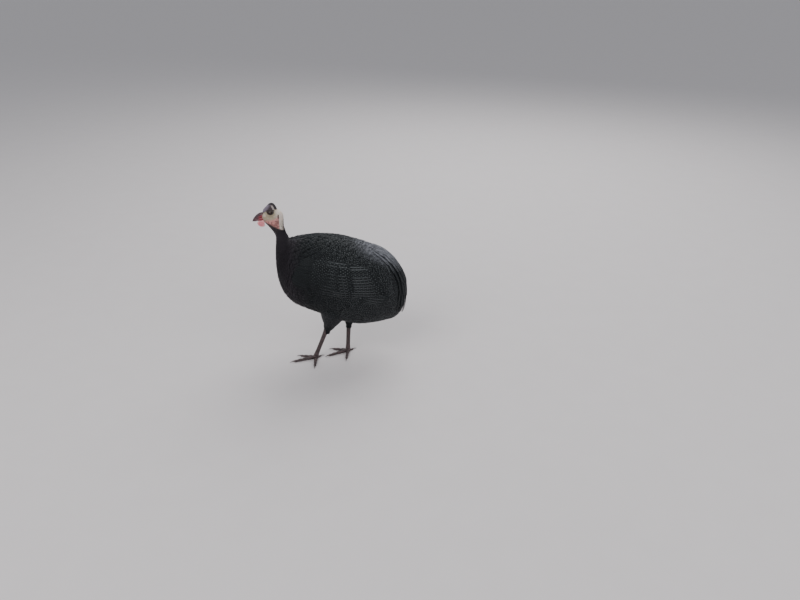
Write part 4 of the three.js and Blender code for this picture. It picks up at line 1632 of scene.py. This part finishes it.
class Shader:
    """Adds nodes to one material and hands back their sockets."""

    def __init__(self, name: str) -> None:
        """Starts a node material.

        Args:
            name: Its name.
        """
        self.material = bpy.data.materials.new(name)
        self.material.use_nodes = True
        self.nodes = self.material.node_tree.nodes
        self.links = self.material.node_tree.links
        self.surface = self.nodes["Principled BSDF"]

    def put(self, socket: Socket, value: object) -> None:
        """Wires or sets an input.

        Args:
            socket: The input.
            value: A socket to wire, or a plain value.
        """
        if isinstance(value, Socket):
            self.links.new(value, socket)
        else:
            socket.default_value = value

    def math(self, operation: str, a: object, b: object = 0.0) -> Socket:
        """Result of a Math node.

        Args:
            operation: Its operation.
            a: Socket or value of the first input.
            b: Socket or value of the second.
        Returns:
            The result.
        """
        node = self.nodes.new("ShaderNodeMath")
        node.operation = operation
        self.put(node.inputs[0], a)
        self.put(node.inputs[1], b)
        return node.outputs[0]

    def add(self, a: object, b: object) -> Socket:
        """Sum of two values.

        Args:
            a: Socket or value.
            b: Socket or value.
        Returns:
            a + b.
        """
        return self.math("ADD", a, b)

    def less(self, a: object, b: object) -> Socket:
        """Difference of two values.

        Args:
            a: Socket or value.
            b: Socket or value.
        Returns:
            a - b.
        """
        return self.math("SUBTRACT", a, b)

    def times(self, a: object, b: object) -> Socket:
        """Product of two values.

        Args:
            a: Socket or value.
            b: Socket or value.
        Returns:
            a * b.
        """
        return self.math("MULTIPLY", a, b)

    def mix(self, factor: object, a: object, b: object) -> Socket:
        """Colour between two.

        Args:
            factor: Share of the second colour.
            a: Socket or colour at 0.
            b: Socket or colour at 1.
        Returns:
            The colour.
        """
        node = self.nodes.new("ShaderNodeMix")
        node.data_type = "RGBA"
        self.put(node.inputs["Factor"], factor)
        self.put(node.inputs[6], a)
        self.put(node.inputs[7], b)
        return node.outputs[2]

    def span(
        self,
        value: object,
        low: float,
        high: float,
        start: float = 0.0,
        end: float = 1.0,
    ) -> Socket:
        """Value carried smoothly from one span to another.

        Args:
            value: Socket to read.
            low: Value that gives `start`.
            high: Value that gives `end`.
            start: Result at `low`.
            end: Result at `high`.
        Returns:
            The result.
        """
        node = self.nodes.new("ShaderNodeMapRange")
        node.interpolation_type = "SMOOTHSTEP"
        self.put(node.inputs["Value"], value)
        limits = {"From Min": low, "From Max": high, "To Min": start, "To Max": end}
        for name, number in limits.items():
            node.inputs[name].default_value = number
        return node.outputs[0]

    def noise(self, scale: float, detail: float = 3.0, stretch: Triple = (1, 1, 1)) -> Socket:
        """Noise over object coordinates.

        Args:
            scale: Lumps in each metre.
            detail: Its octaves.
            stretch: Factors for X, Y and Z.
        Returns:
            Values from 0 to 1.
        """
        node = self.nodes.new("ShaderNodeTexNoise")
        node.inputs["Scale"].default_value = scale
        node.inputs["Detail"].default_value = detail
        self.links.new(self.place(stretch), node.inputs["Vector"])
        return node.outputs["Fac"]

    def cells(self, scale: float, feature: str = "F1") -> Socket:
        """Distance in a pattern of cells over object coordinates.

        Args:
            scale: Cells in each metre.
            feature: What the distance is taken from.
        Returns:
            The distance.
        """
        node = self.nodes.new("ShaderNodeTexVoronoi")
        node.feature = feature
        node.inputs["Scale"].default_value = scale
        self.links.new(self.place(), node.inputs["Vector"])
        return node.outputs["Distance"]

    def place(self, stretch: Triple = (1, 1, 1)) -> Socket:
        """Object coordinates.

        Args:
            stretch: Factors for X, Y and Z.
        Returns:
            The vector.
        """
        at = self.nodes.new("ShaderNodeTexCoord")
        turn = self.nodes.new("ShaderNodeMapping")
        turn.inputs["Scale"].default_value = stretch
        self.links.new(at.outputs["Object"], turn.inputs["Vector"])
        return turn.outputs["Vector"]

    def drawing(self) -> list[Socket]:
        """Places in the drawing's millimetres.

        Returns:
            X and Z.
        """
        x, _, z = self.parts(self.place())
        offsets = ((x, float(OFFSET[0])), (z, float(OFFSET[2])))
        return [self.times(self.less(value, offset), 1 / MM) for value, offset in offsets]

    def away(self, x: object, z: object, centre: Pair, stretch: float = 1.0) -> Socket:
        """Distance of x and z from a centre, with z counted `stretch` times.

        Args:
            x: The first place.
            z: The second place.
            centre: Where the distance is 0.
            stretch: Weight of the second.
        Returns:
            The distance.
        """
        dx = self.less(x, centre[0])
        dz = self.times(self.less(z, centre[1]), stretch)
        return self.math("SQRT", self.add(self.times(dx, dx), self.times(dz, dz)))

    def parts(self, vector: Socket) -> list[Socket]:
        """Splits a vector.

        Args:
            vector: The vector.
        Returns:
            Its X, Y and Z.
        """
        node = self.nodes.new("ShaderNodeSeparateXYZ")
        self.links.new(vector, node.inputs[0])
        return list(node.outputs)

    def uv(self, name: str) -> Socket:
        """One of the piece's UV maps.

        Args:
            name: Its name.
        Returns:
            The place on it.
        """
        node = self.nodes.new("ShaderNodeUVMap")
        node.uv_map = name
        return node.outputs[0]

    def marks(self) -> list[Socket]:
        """The piece's marks.

        Returns:
            Dots, bars, tone and fade.
        """
        node = self.nodes.new("ShaderNodeAttribute")
        node.attribute_name = "marks"
        split = self.nodes.new("ShaderNodeSeparateColor")
        self.links.new(node.outputs["Color"], split.inputs[0])
        return [*split.outputs, node.outputs["Alpha"]]

    def relief(self, height: Socket, depth: float, strength: float = 1.0) -> None:
        """Bump of a height, `depth` metres deep.

        Args:
            height: The height.
            depth: Metres between its 0 and 1.
            strength: Share of it that shows.
        """
        node = self.nodes.new("ShaderNodeBump")
        node.inputs["Distance"].default_value = depth
        node.inputs["Strength"].default_value = strength
        self.links.new(height, node.inputs["Height"])
        self.links.new(node.outputs[0], self.surface.inputs["Normal"])

    def finish(self, colour: object, roughness: object, **plain: object) -> Material:
        """Sets the surface's sockets.

        Args:
            colour: Base colour.
            roughness: Roughness.
            plain: Further sockets by name, with _ for a space, as plain values.
        Returns:
            The material.
        """
        self.put(self.surface.inputs["Base Color"], colour)
        self.put(self.surface.inputs["Roughness"], roughness)
        for name, value in plain.items():
            self.surface.inputs[name.replace("_", " ")].default_value = value
        return self.material


@dataclass(frozen=True)
class PlumageFinish:
    """Charcoal feathers with round white dots, bars on the outer edge, and a painted sheen over the
    rump.
    """

    name: str
    ground: Colour = (0.0028, 0.0040, 0.0046, 1)
    bluish: Colour = (0.0062, 0.0080, 0.0092, 1)
    barbs: Colour = (0.012, 0.0145, 0.0165, 1)
    # painted sheen: pale bluish grey laid over the top of the rump
    rump: Colour = (0.21, 0.213, 0.243, 1)
    plain: Colour = (0.019, 0.0155, 0.0195, 1)
    dot: Colour = (0.26, 0.28, 0.285, 1)
    radius: float = 0.15
    bars_in_step: float = 1.9
    rump_sheen_x: Pair = (15, 80)
    rump_sheen_z: Pair = (315, 350)

    def lattice(self, s: Shader, x: Socket, y: Socket) -> Socket:
        """Round dots at the points of a staggered lattice of step 1.

        Args:
            s: The shader.
            x: Place across.
            y: Place along.
        Returns:
            1 on a dot, 0 off it.
        """
        odd = s.times(s.math("MODULO", s.math("ABSOLUTE", s.math("FLOOR", y)), 2.0), 0.5)
        across = s.less(s.math("FRACT", s.add(x, odd)), 0.5)
        along = s.less(s.math("FRACT", y), 0.5)
        away = s.math("SQRT", s.add(s.times(across, across), s.times(along, along)))
        return s.span(away, self.radius + 0.02, self.radius - 0.06)

    def bars(self, s: Shader, x: Socket, y: Socket) -> Socket:
        """Short bars on both edges of a vane.

        Args:
            s: The shader.
            x: Place across.
            y: Place along.
        Returns:
            1 on a bar, 0 off it.
        """
        edge = s.span(s.math("ABSOLUTE", x), 0.80, 0.95)
        wave = s.less(s.math("FRACT", s.times(y, self.bars_in_step)), 0.5)
        return s.times(s.span(s.math("ABSOLUTE", wave), 0.26, 0.16), edge)

    def ground_colour(self, s: Shader, tone: Socket, fade: Socket) -> Socket:
        """Colour between the dots: charcoal, with a painted sheen that pales the top of the rump in
        streaks, and plain towards the neck.

        Args:
            s: The shader.
            tone: Small difference of each feather.
            fade: 1 where the plumage is plain.
        Returns:
            The colour.
        """
        x, z = s.drawing()
        fine = s.noise(2600, 2)
        cloud = s.noise(28, 3)
        ground = s.mix(s.times(s.add(tone, cloud), 0.5), self.ground, self.bluish)
        ground = s.mix(s.span(fine, 0.5, 0.75, 0, 0.4), ground, self.barbs)
        # Painted sheen on the rump: brightest towards its top edge, broken into streaks along the
        # feathers.
        streak = s.noise(150, 3, (0.35, 1.0, 1.0))
        over = s.span(s.add(z, s.times(x, 0.55)), *self.rump_sheen_z)
        lit = s.times(s.span(x, *self.rump_sheen_x), over)
        ground = s.mix(s.times(lit, s.span(streak, 0.34, 0.66, 0.3, 0.85)), ground, self.rump)
        return s.mix(fade, ground, self.plain)

    def material(self) -> Material:
        """Makes the material.

        Returns:
            The material.
        """
        s = Shader(self.name)
        dots, bars, tone, fade = s.marks()
        x, y, _ = s.parts(s.uv("Vane"))
        spots = self.lattice(s, x, s.add(y, 0.02))
        bar = s.times(self.bars(s, x, y), s.times(bars, 0.85))
        spots = s.times(s.math("MAXIMUM", spots, bar), dots)
        colour = s.mix(spots, self.ground_colour(s, tone, fade), self.dot)
        slant = s.add(s.times(s.math("ABSOLUTE", x), 1.6), y)
        s.relief(s.math("SINE", s.times(slant, 60.0)), 0.00006, 0.5)
        return s.finish(
            colour,
            0.62,
            Specular_IOR_Level=0.17,
            Sheen_Weight=0.03,
            Sheen_Roughness=0.4,
            Sheen_Tint=(0.75, 0.8, 0.95, 1),
        )


@dataclass(frozen=True)
class SkinFinish:
    """The skin: dark under the coat, pale on the bare head, pink at the cheek.

    Places, and the spans over which one colour gives way to another, are in the drawing's
    millimetres.
    """

    dark: Colour = (0.008, 0.009, 0.01, 1)
    face: Colour = (0.33, 0.275, 0.185, 1)
    nape: Colour = (0.62, 0.54, 0.47, 1)
    pink: Colour = (0.55, 0.23, 0.215, 1)
    blood: Colour = (0.16, 0.045, 0.045, 1)
    brown: Colour = (0.022, 0.012, 0.012, 1)
    freckle: Colour = (0.13, 0.085, 0.06, 1)
    dust: Colour = (0.3, 0.24, 0.2, 1)
    nape_x: Pair = (-150, -136)
    cheek_x: Pair = (-136, -140)
    cheek_z: Pair = (385, 377)
    freckle_x: Pair = (-139, -143)
    freckle_z: Pair = (396, 386)
    throat_z: Pair = (363.5, 359.5)
    lores: Pair = (-171.5, 390.0)
    seam: Pair = (-139.5, 374.0)

    def face_colour(self, s: Shader, x: Socket, z: Socket, warp: Socket, mottle: Socket) -> Socket:
        """Colour of face and nape: pale, whiter behind and before the eye.

        Args:
            s: The shader.
            x: Place along the bird.
            z: Height.
            warp: Uneven shift of the borders, in millimetres.
            mottle: Noise.
        Returns:
            The colour.
        """
        colour = s.mix(s.span(s.add(x, warp), *self.nape_x), self.face, self.nape)
        colour = s.mix(s.span(mottle, 0.5, 0.75, 0, 0.35), colour, self.nape)
        lores = s.away(x, z, self.lores)
        return s.mix(s.span(lores, 5.5, 2.0, 0, 0.4), colour, self.nape)

    def material(self) -> Material:
        """Makes the material.

        Returns:
            The material.
        """
        s = Shader("bare_and_coated_skin")
        _, bare, _, _ = s.marks()
        x, z = s.drawing()
        blotch = s.noise(110, 4)
        mottle = s.noise(230, 3)
        fine = s.noise(700, 3)
        warp = s.times(s.less(blotch, 0.5), 9.0)
        colour = self.face_colour(s, x, z, warp, mottle)
        down = s.add(s.add(z, warp), s.times(s.add(x, 150.0), -0.3))
        rear_end = s.span(s.add(x, s.times(warp, 0.4)), *self.cheek_x)
        cheek = s.times(s.span(down, *self.cheek_z), rear_end)
        bruise = s.span(s.less(mottle, s.span(down, 384, 366, 0.58, 0.40)), 0.0, 0.12, 0, 0.85)
        pink = s.mix(bruise, self.pink, self.blood)
        colour = s.mix(s.times(cheek, 0.9), colour, pink)
        freckle = s.times(s.span(fine, 0.56, 0.68, 0, 0.6), s.span(down, *self.freckle_z))
        colour = s.mix(s.times(freckle, s.span(x, *self.freckle_x)), colour, self.freckle)
        throat = s.add(s.add(s.times(s.add(x, 150.0), 0.52), z), s.times(warp, 0.35))
        colour = s.mix(s.span(throat, *self.throat_z), colour, self.brown)
        ear = s.away(x, z, (EAR["x"] - 0.5, EAR["z"] - 3.5), 0.42)
        colour = s.mix(s.span(ear, 2.6, 1.2, 0, 0.85), colour, self.brown)
        seam = s.away(x, z, self.seam, 0.16)
        colour = s.mix(s.span(seam, 2.0, 0.7, 0, 0.75), colour, self.blood)
        # Dark brown round the eye and up to the casque's base: partly the eye's own dark skin, partly
        # painted shade under the casque.
        socket = s.add(s.away(x, z, (EYE["x"] + 0.5, EYE["z"] + 4.5)), s.times(warp, 0.3))
        colour = s.mix(s.span(socket, 10.8, 8.4, 0, 0.94), colour, self.brown)
        colour = s.mix(s.span(fine, 0.58, 0.75, 0, 0.25), colour, self.dust)
        colour = s.mix(bare, self.dark, colour)
        s.relief(s.add(s.cells(900), s.times(s.noise(260, 5), 1.2)), 0.0003, 0.6)
        return s.finish(
            colour,
            0.5,
            Specular_IOR_Level=0.4,
            Subsurface_Weight=0.08,
            Subsurface_Scale=0.003,
        )


@dataclass(frozen=True)
class CasqueFinish:
    """Casque: mauve-grey horn in front, brown at the sides, with a thick dark rear edge."""

    mauve: Colour = (0.15, 0.12, 0.16, 1)
    brown: Colour = (0.045, 0.027, 0.031, 1)
    pale: Colour = (0.40, 0.35, 0.33, 1)
    edge: Colour = (0.014, 0.009, 0.012, 1)
    side_x: Pair = (-175, -166)
    strip_x: Pair = (-149.5, -147.5)
    strip_z: Pair = (414, 410)
    edge_x: Pair = (-144.6, -143.2)
    crest_z: Pair = (411, 415.5)

    def material(self) -> Material:
        """Makes the material.

        Returns:
            The material.
        """
        s = Shader("casque_horn")
        x, z = s.drawing()
        streak = s.noise(420, 4, (1.0, 1.0, 0.35))
        warp = s.times(s.less(streak, 0.5), 6.0)
        rise = s.less(z, 396.0)
        front = s.less(s.add(x, warp), s.times(rise, 0.85))
        colour = s.mix(s.span(front, *self.side_x), self.mauve, self.brown)
        back = s.add(s.add(x, s.times(warp, 0.4)), s.times(rise, 0.42))
        strip = s.times(s.span(back, *self.strip_x), s.span(z, *self.strip_z))
        colour = s.mix(s.times(strip, 0.85), colour, self.pale)
        colour = s.mix(s.span(back, *self.edge_x), colour, self.edge)
        colour = s.mix(s.span(s.add(z, s.times(warp, 0.5)), *self.crest_z), colour, self.edge)
        s.relief(streak, 0.0004, 0.6)
        return s.finish(colour, s.span(streak, 0.3, 0.7, 0.38, 0.55))


@dataclass(frozen=True)
class ClawFinish:
    """Claw: dark horn, streaked along its growth, faintly glossy."""

    dark: Colour = (0.02, 0.012, 0.01, 1)
    light: Colour = (0.07, 0.045, 0.035, 1)
    roughness: Pair = (0.27, 0.45)

    def material(self) -> Material:
        """Makes the material.

        Returns:
            The material.
        """
        s = Shader("claw_horn")
        streak = s.noise(420, 4, (0.4, 0.4, 1.0))
        blotch = s.noise(120, 3)
        colour = s.mix(s.span(streak, 0.35, 0.7), self.dark, self.light)
        colour = s.mix(s.span(blotch, 0.55, 0.75, 0, 0.5), colour, self.dark)
        s.relief(streak, 0.0003, 0.55)
        return s.finish(colour, s.span(blotch, 0.3, 0.7, *self.roughness))


@dataclass(frozen=True)
class BillFinish:
    """Bill: red at its root, dark horn towards the tip and along the ridge."""

    red: Colour = (0.25, 0.035, 0.045, 1)
    mauve: Colour = (0.115, 0.05, 0.058, 1)
    horn: Colour = (0.04, 0.018, 0.024, 1)
    root_x: Pair = (-183, -190)
    tip_x: Pair = (-193, -199)
    ridge_z: Pair = (386, 390.5)

    def material(self) -> Material:
        """Makes the material.

        Returns:
            The material.
        """
        s = Shader("bill_horn")
        x, z = s.drawing()
        blotch = s.noise(260, 4)
        streak = s.noise(500, 3, (0.25, 1, 1))
        warp = s.times(s.less(blotch, 0.5), 5.0)
        along = s.add(x, warp)
        colour = s.mix(s.span(along, *self.root_x), self.red, self.mauve)
        colour = s.mix(s.span(along, *self.tip_x, 0, 0.7), colour, self.horn)
        ridge = s.less(s.add(z, warp), s.times(s.add(x, 181.0), 0.5))
        colour = s.mix(s.times(s.span(ridge, *self.ridge_z), 0.92), colour, self.horn)
        s.relief(streak, 0.00025, 0.5)
        return s.finish(colour, s.span(streak, 0.3, 0.7, 0.3, 0.45))


@dataclass(frozen=True)
class WattleFinish:
    """Wattle: soft pink-red skin, paler on its rim, finely pitted."""

    red: Colour = (0.60, 0.19, 0.21, 1)
    pale: Colour = (0.70, 0.31, 0.32, 1)

    def material(self) -> Material:
        """Makes the material.

        Returns:
            The material.
        """
        s = Shader("wattle_skin")
        blotch = s.noise(160, 4)
        x, z = s.drawing()
        rim = s.add(s.away(x, z, (-180.5, 370.0), 1.25), s.times(blotch, 3.0))
        colour = s.mix(s.span(rim, 6.5, 9.5), self.red, self.pale)
        height = s.add(s.cells(1400), s.times(s.noise(300, 4), 1.5))
        s.relief(height, 0.0003, 0.6)
        return s.finish(colour, 0.42, Subsurface_Weight=0.15, Subsurface_Scale=0.003)


@dataclass(frozen=True)
class EyeFinish:
    """Eye: black pupil, dark brown iris with fine spokes, under a wet gloss."""

    pupil: Colour = (0.003, 0.003, 0.003, 1)
    iris: Colour = (0.055, 0.022, 0.010, 1)
    edge: Colour = (0.02, 0.012, 0.01, 1)

    def material(self) -> Material:
        """Makes the material.

        Returns:
            The material.
        """
        s = Shader("wet_eye")
        x, z = s.drawing()
        away = s.away(x, z, (EYE["x"], EYE["z"]))
        spoke = s.noise(900, 3)
        iris = s.mix(spoke, self.iris, self.edge)
        colour = s.mix(s.span(away, 2.0, 2.3), self.pupil, iris)
        colour = s.mix(s.span(away, 3.6, 4.3), colour, self.edge)
        return s.finish(colour, 0.12, Specular_IOR_Level=0.3, Coat_Weight=0.45, Coat_Roughness=0.04)


@dataclass(frozen=True)
class ScaleFinish:
    """Legs: dark reddish-brown scutes with paler, dusty edges."""

    dark: Colour = (0.022, 0.012, 0.013, 1)
    light: Colour = (0.078, 0.046, 0.046, 1)
    dust: Colour = (0.14, 0.1, 0.1, 1)

    def material(self) -> Material:
        """Makes the material.

        Returns:
            The material.
        """
        s = Shader("leg_scales")
        blotch = s.noise(150, 4)
        crack = s.cells(520, "DISTANCE_TO_EDGE")
        colour = s.mix(s.span(blotch, 0.4, 0.72), self.dark, self.light)
        colour = s.mix(s.span(crack, 0.10, 0.02, 0, 0.5), colour, self.dust)
        s.relief(s.span(crack, 0.0, 0.12), 0.0003, 0.7)
        return s.finish(colour, s.span(blotch, 0.3, 0.7, 0.42, 0.6))


@dataclass(frozen=True)
class FloorFinish:
    """Plain pale studio floor with the faintest grain."""

    pale: Colour = (0.62, 0.58, 0.58, 1)
    paler: Colour = (0.65, 0.61, 0.61, 1)

    def material(self) -> Material:
        """Makes the material.

        Returns:
            The material.
        """
        s = Shader("studio_floor")
        colour = s.mix(s.noise(14, 2), self.pale, self.paler)
        return s.finish(colour, 0.85)


@dataclass(frozen=True)
class Lamp:
    """Soft square light that faces the bird: place and side in metres, power in watts."""

    name: str
    place: Triple
    side: float
    power: float
    aim: Triple = (0.0, 0.0, 0.2)

    def build(self) -> None:
        """Hangs the light in the scene."""
        lamp = bpy.data.lights.new(self.name, "AREA")
        lamp.size = self.side
        lamp.energy = self.power
        made = bpy.data.objects.new(self.name, lamp)
        bpy.context.scene.collection.objects.link(made)
        turn = (Vector(self.aim) - Vector(self.place)).to_track_quat("-Z", "Y")
        made.matrix_world = Matrix.Translation(Vector(self.place)) @ turn.to_matrix().to_4x4()


@dataclass
class Studio:
    """Floor, soft lights and a camera at the photograph's angle and framing."""

    focus: Triple = (-25.0, 0.0, 195.0)
    pixel: Pair = (330.0, 285.0)
    frame_size: Pair = (800.0, 600.0)
    focal_pixels: float = 700.0
    distance: float = 1780.0
    elevation: float = 26.0
    floor_reach: float = 24.0
    sky: Colour = (0.86, 0.9, 0.96, 1)
    sky_strength: float = 0.55
    lamps: tuple[Lamp, ...] = (
        Lamp("back_light", (0.9, 1.7, 2.3), 2.4, 62),
        Lamp("key_light", (-1.3, -1.4, 2.0), 1.8, 34),
        Lamp("fill_light", (1.6, -1.6, 1.2), 1.6, 14),
    )

    def camera(self) -> None:
        """Sets the camera so that the focus lands on its pixel, seen from the elevation."""
        dx = (self.pixel[0] - self.frame_size[0] / 2) / self.focal_pixels
        dy = (self.pixel[1] - self.frame_size[1] / 2) / self.focal_pixels
        pitch = np.radians(self.elevation) - np.arctan(dy)
        turn = -np.arctan(dx)
        ahead = np.array([np.sin(turn) * np.cos(pitch), np.cos(turn) * np.cos(pitch), -np.sin(pitch)])
        right = np.array([np.cos(turn), -np.sin(turn), 0.0])
        up = np.cross(right, ahead)
        ray = unit(ahead + right * dx - up * dy)
        place = (np.array(self.focus) - ray * self.distance) * MM + OFFSET
        lens = bpy.data.cameras.new("camera")
        lens.sensor_width = 36.0
        lens.lens = lens.sensor_width * self.focal_pixels / self.frame_size[0]
        made = bpy.data.objects.new("camera", lens)
        bpy.context.scene.collection.objects.link(made)
        axes = Matrix((Vector(right), Vector(up), Vector(-ahead))).transposed().to_4x4()
        made.matrix_world = Matrix.Translation(Vector(place)) @ axes
        bpy.context.scene.camera = made

    def build(self) -> None:
        """Makes floor, lights, world and camera."""
        corners = self.floor_reach * np.array([[-1, -1, 0], [1, -1, 0], [1, 1, 0], [-1, 1, 0]])
        mesh = bpy.data.meshes.new("studio_floor")
        mesh.from_pydata(corners.tolist(), [], [[0, 1, 2, 3]])
        mesh.materials.append(FloorFinish().material())
        floor = bpy.data.objects.new("studio_floor", mesh)
        bpy.context.scene.collection.objects.link(floor)
        for lamp in self.lamps:
            lamp.build()
        world = bpy.data.worlds.new("studio")
        world.use_nodes = True
        sky = world.node_tree.nodes["Background"]
        sky.inputs["Color"].default_value = self.sky
        sky.inputs["Strength"].default_value = self.sky_strength
        bpy.context.scene.world = world
        self.camera()


LEGS = (
    Leg(
        Side.LEFT,
        np.array(
            [
                [-14, -36, 172, 40],
                [-16, -34, 152, 40],
                [-24, -27, 119, 27],
                [-29.5, -20, 97, 17],
                [-34.5, -16, 82, 12],
                [-37.2, -15.5, 73, 7.4],
            ]
        ),
        np.array([-38.0, -16.0, 79.0]),
        np.array([-71.0, -22.0, 1.0]),
        ((194, 57, 5.0), (266, 41, 4.4), (162, 41, 4.3), (32, 14, 3.6)),
    ),
    Leg(
        Side.RIGHT,
        np.array(
            [
                [24, 34, 172, 38],
                [24, 33, 150, 38],
                [21, 26, 116, 25],
                [22, 19, 94, 14.5],
                [20, 15, 79, 10.5],
                [19, 14.6, 70, 7],
            ]
        ),
        np.array([19.0, 15.0, 76.0]),
        np.array([14.0, 5.0, 1.0]),
        ((202, 54, 5.0), (162, 41, 4.3), (262, 40, 4.4), (30, 15, 3.6)),
    ),
)


def build_coat(shape: BodyShape, field_of_skin: Field, plumage: Material) -> None:
    """Makes the coat of body and neck in pieces, and that of the thighs.

    Args:
        shape: The body's outline.
        field_of_skin: Table of its skin.
        plumage: Material of the feathers.
    """
    rng = np.random.default_rng(SEED)
    for band, book in Coat(shape, field_of_skin).build(rng).items():
        dressed(book.build(f"{band}_feathers", [plumage]), "plumage")
    for leg in LEGS:
        thigh = MeshBook()
        leg.feathers(thigh, rng)
        dressed(thigh.build(f"thigh_{leg.side.word}_feathers", [plumage]), "plumage")


def build_skin(shape: BodyShape, scales: Material) -> None:
    """Makes the one skin of body, neck, head and legs.

    Args:
        shape: The body's outline.
        scales: Material of shanks and feet.
    """
    book = MeshBook()
    Skin(shape).add(book)
    for side in Side:
        Lids(side).add(book)
    for leg in LEGS:
        leg.thigh_skin(book)
        leg.shank(book, 1)
        leg.foot(book, 1)
    made = book.build("skin", [SkinFinish().material(), scales])
    limbs = [f"{part}_{side.word}" for part in ("thigh", "shank", "foot") for side in Side]
    dressed(made, "head_skin", "torso", "neck", "head", *limbs)


def main() -> None:
    """Builds the bird and the studio, in order."""
    logging.basicConfig(level=logging.INFO, format="%(name)s %(message)s")
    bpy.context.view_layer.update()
    shape = BodyShape()
    field_of_skin = Field(shape)
    trunk = Trunk()
    plumage = PlumageFinish("dotted_plumage").material()
    flight = PlumageFinish("flight_plumage", radius=0.165).material()
    wattle_skin = WattleFinish().material()
    wet_eye = EyeFinish().material()
    build_skin(shape, ScaleFinish().material())
    build_coat(shape, field_of_skin, plumage)
    for side in Side:
        FoldedWing(side, trunk).build(flight, np.random.default_rng(SEED + 1))
        Wattle(side).build(wattle_skin)
        Eye(side).build(wet_eye)
    DroopingTail(trunk).build(flight, np.random.default_rng(SEED + 2))
    Casque().build(CasqueFinish().material())
    Bill().build(BillFinish().material())
    Bristles(field_of_skin).build(plumage, np.random.default_rng(SEED + 3))
    claw_horn = ClawFinish().material()
    for leg in LEGS:
        leg.claws(claw_horn)
    Studio().build()


if __name__ == "__main__":
    main()
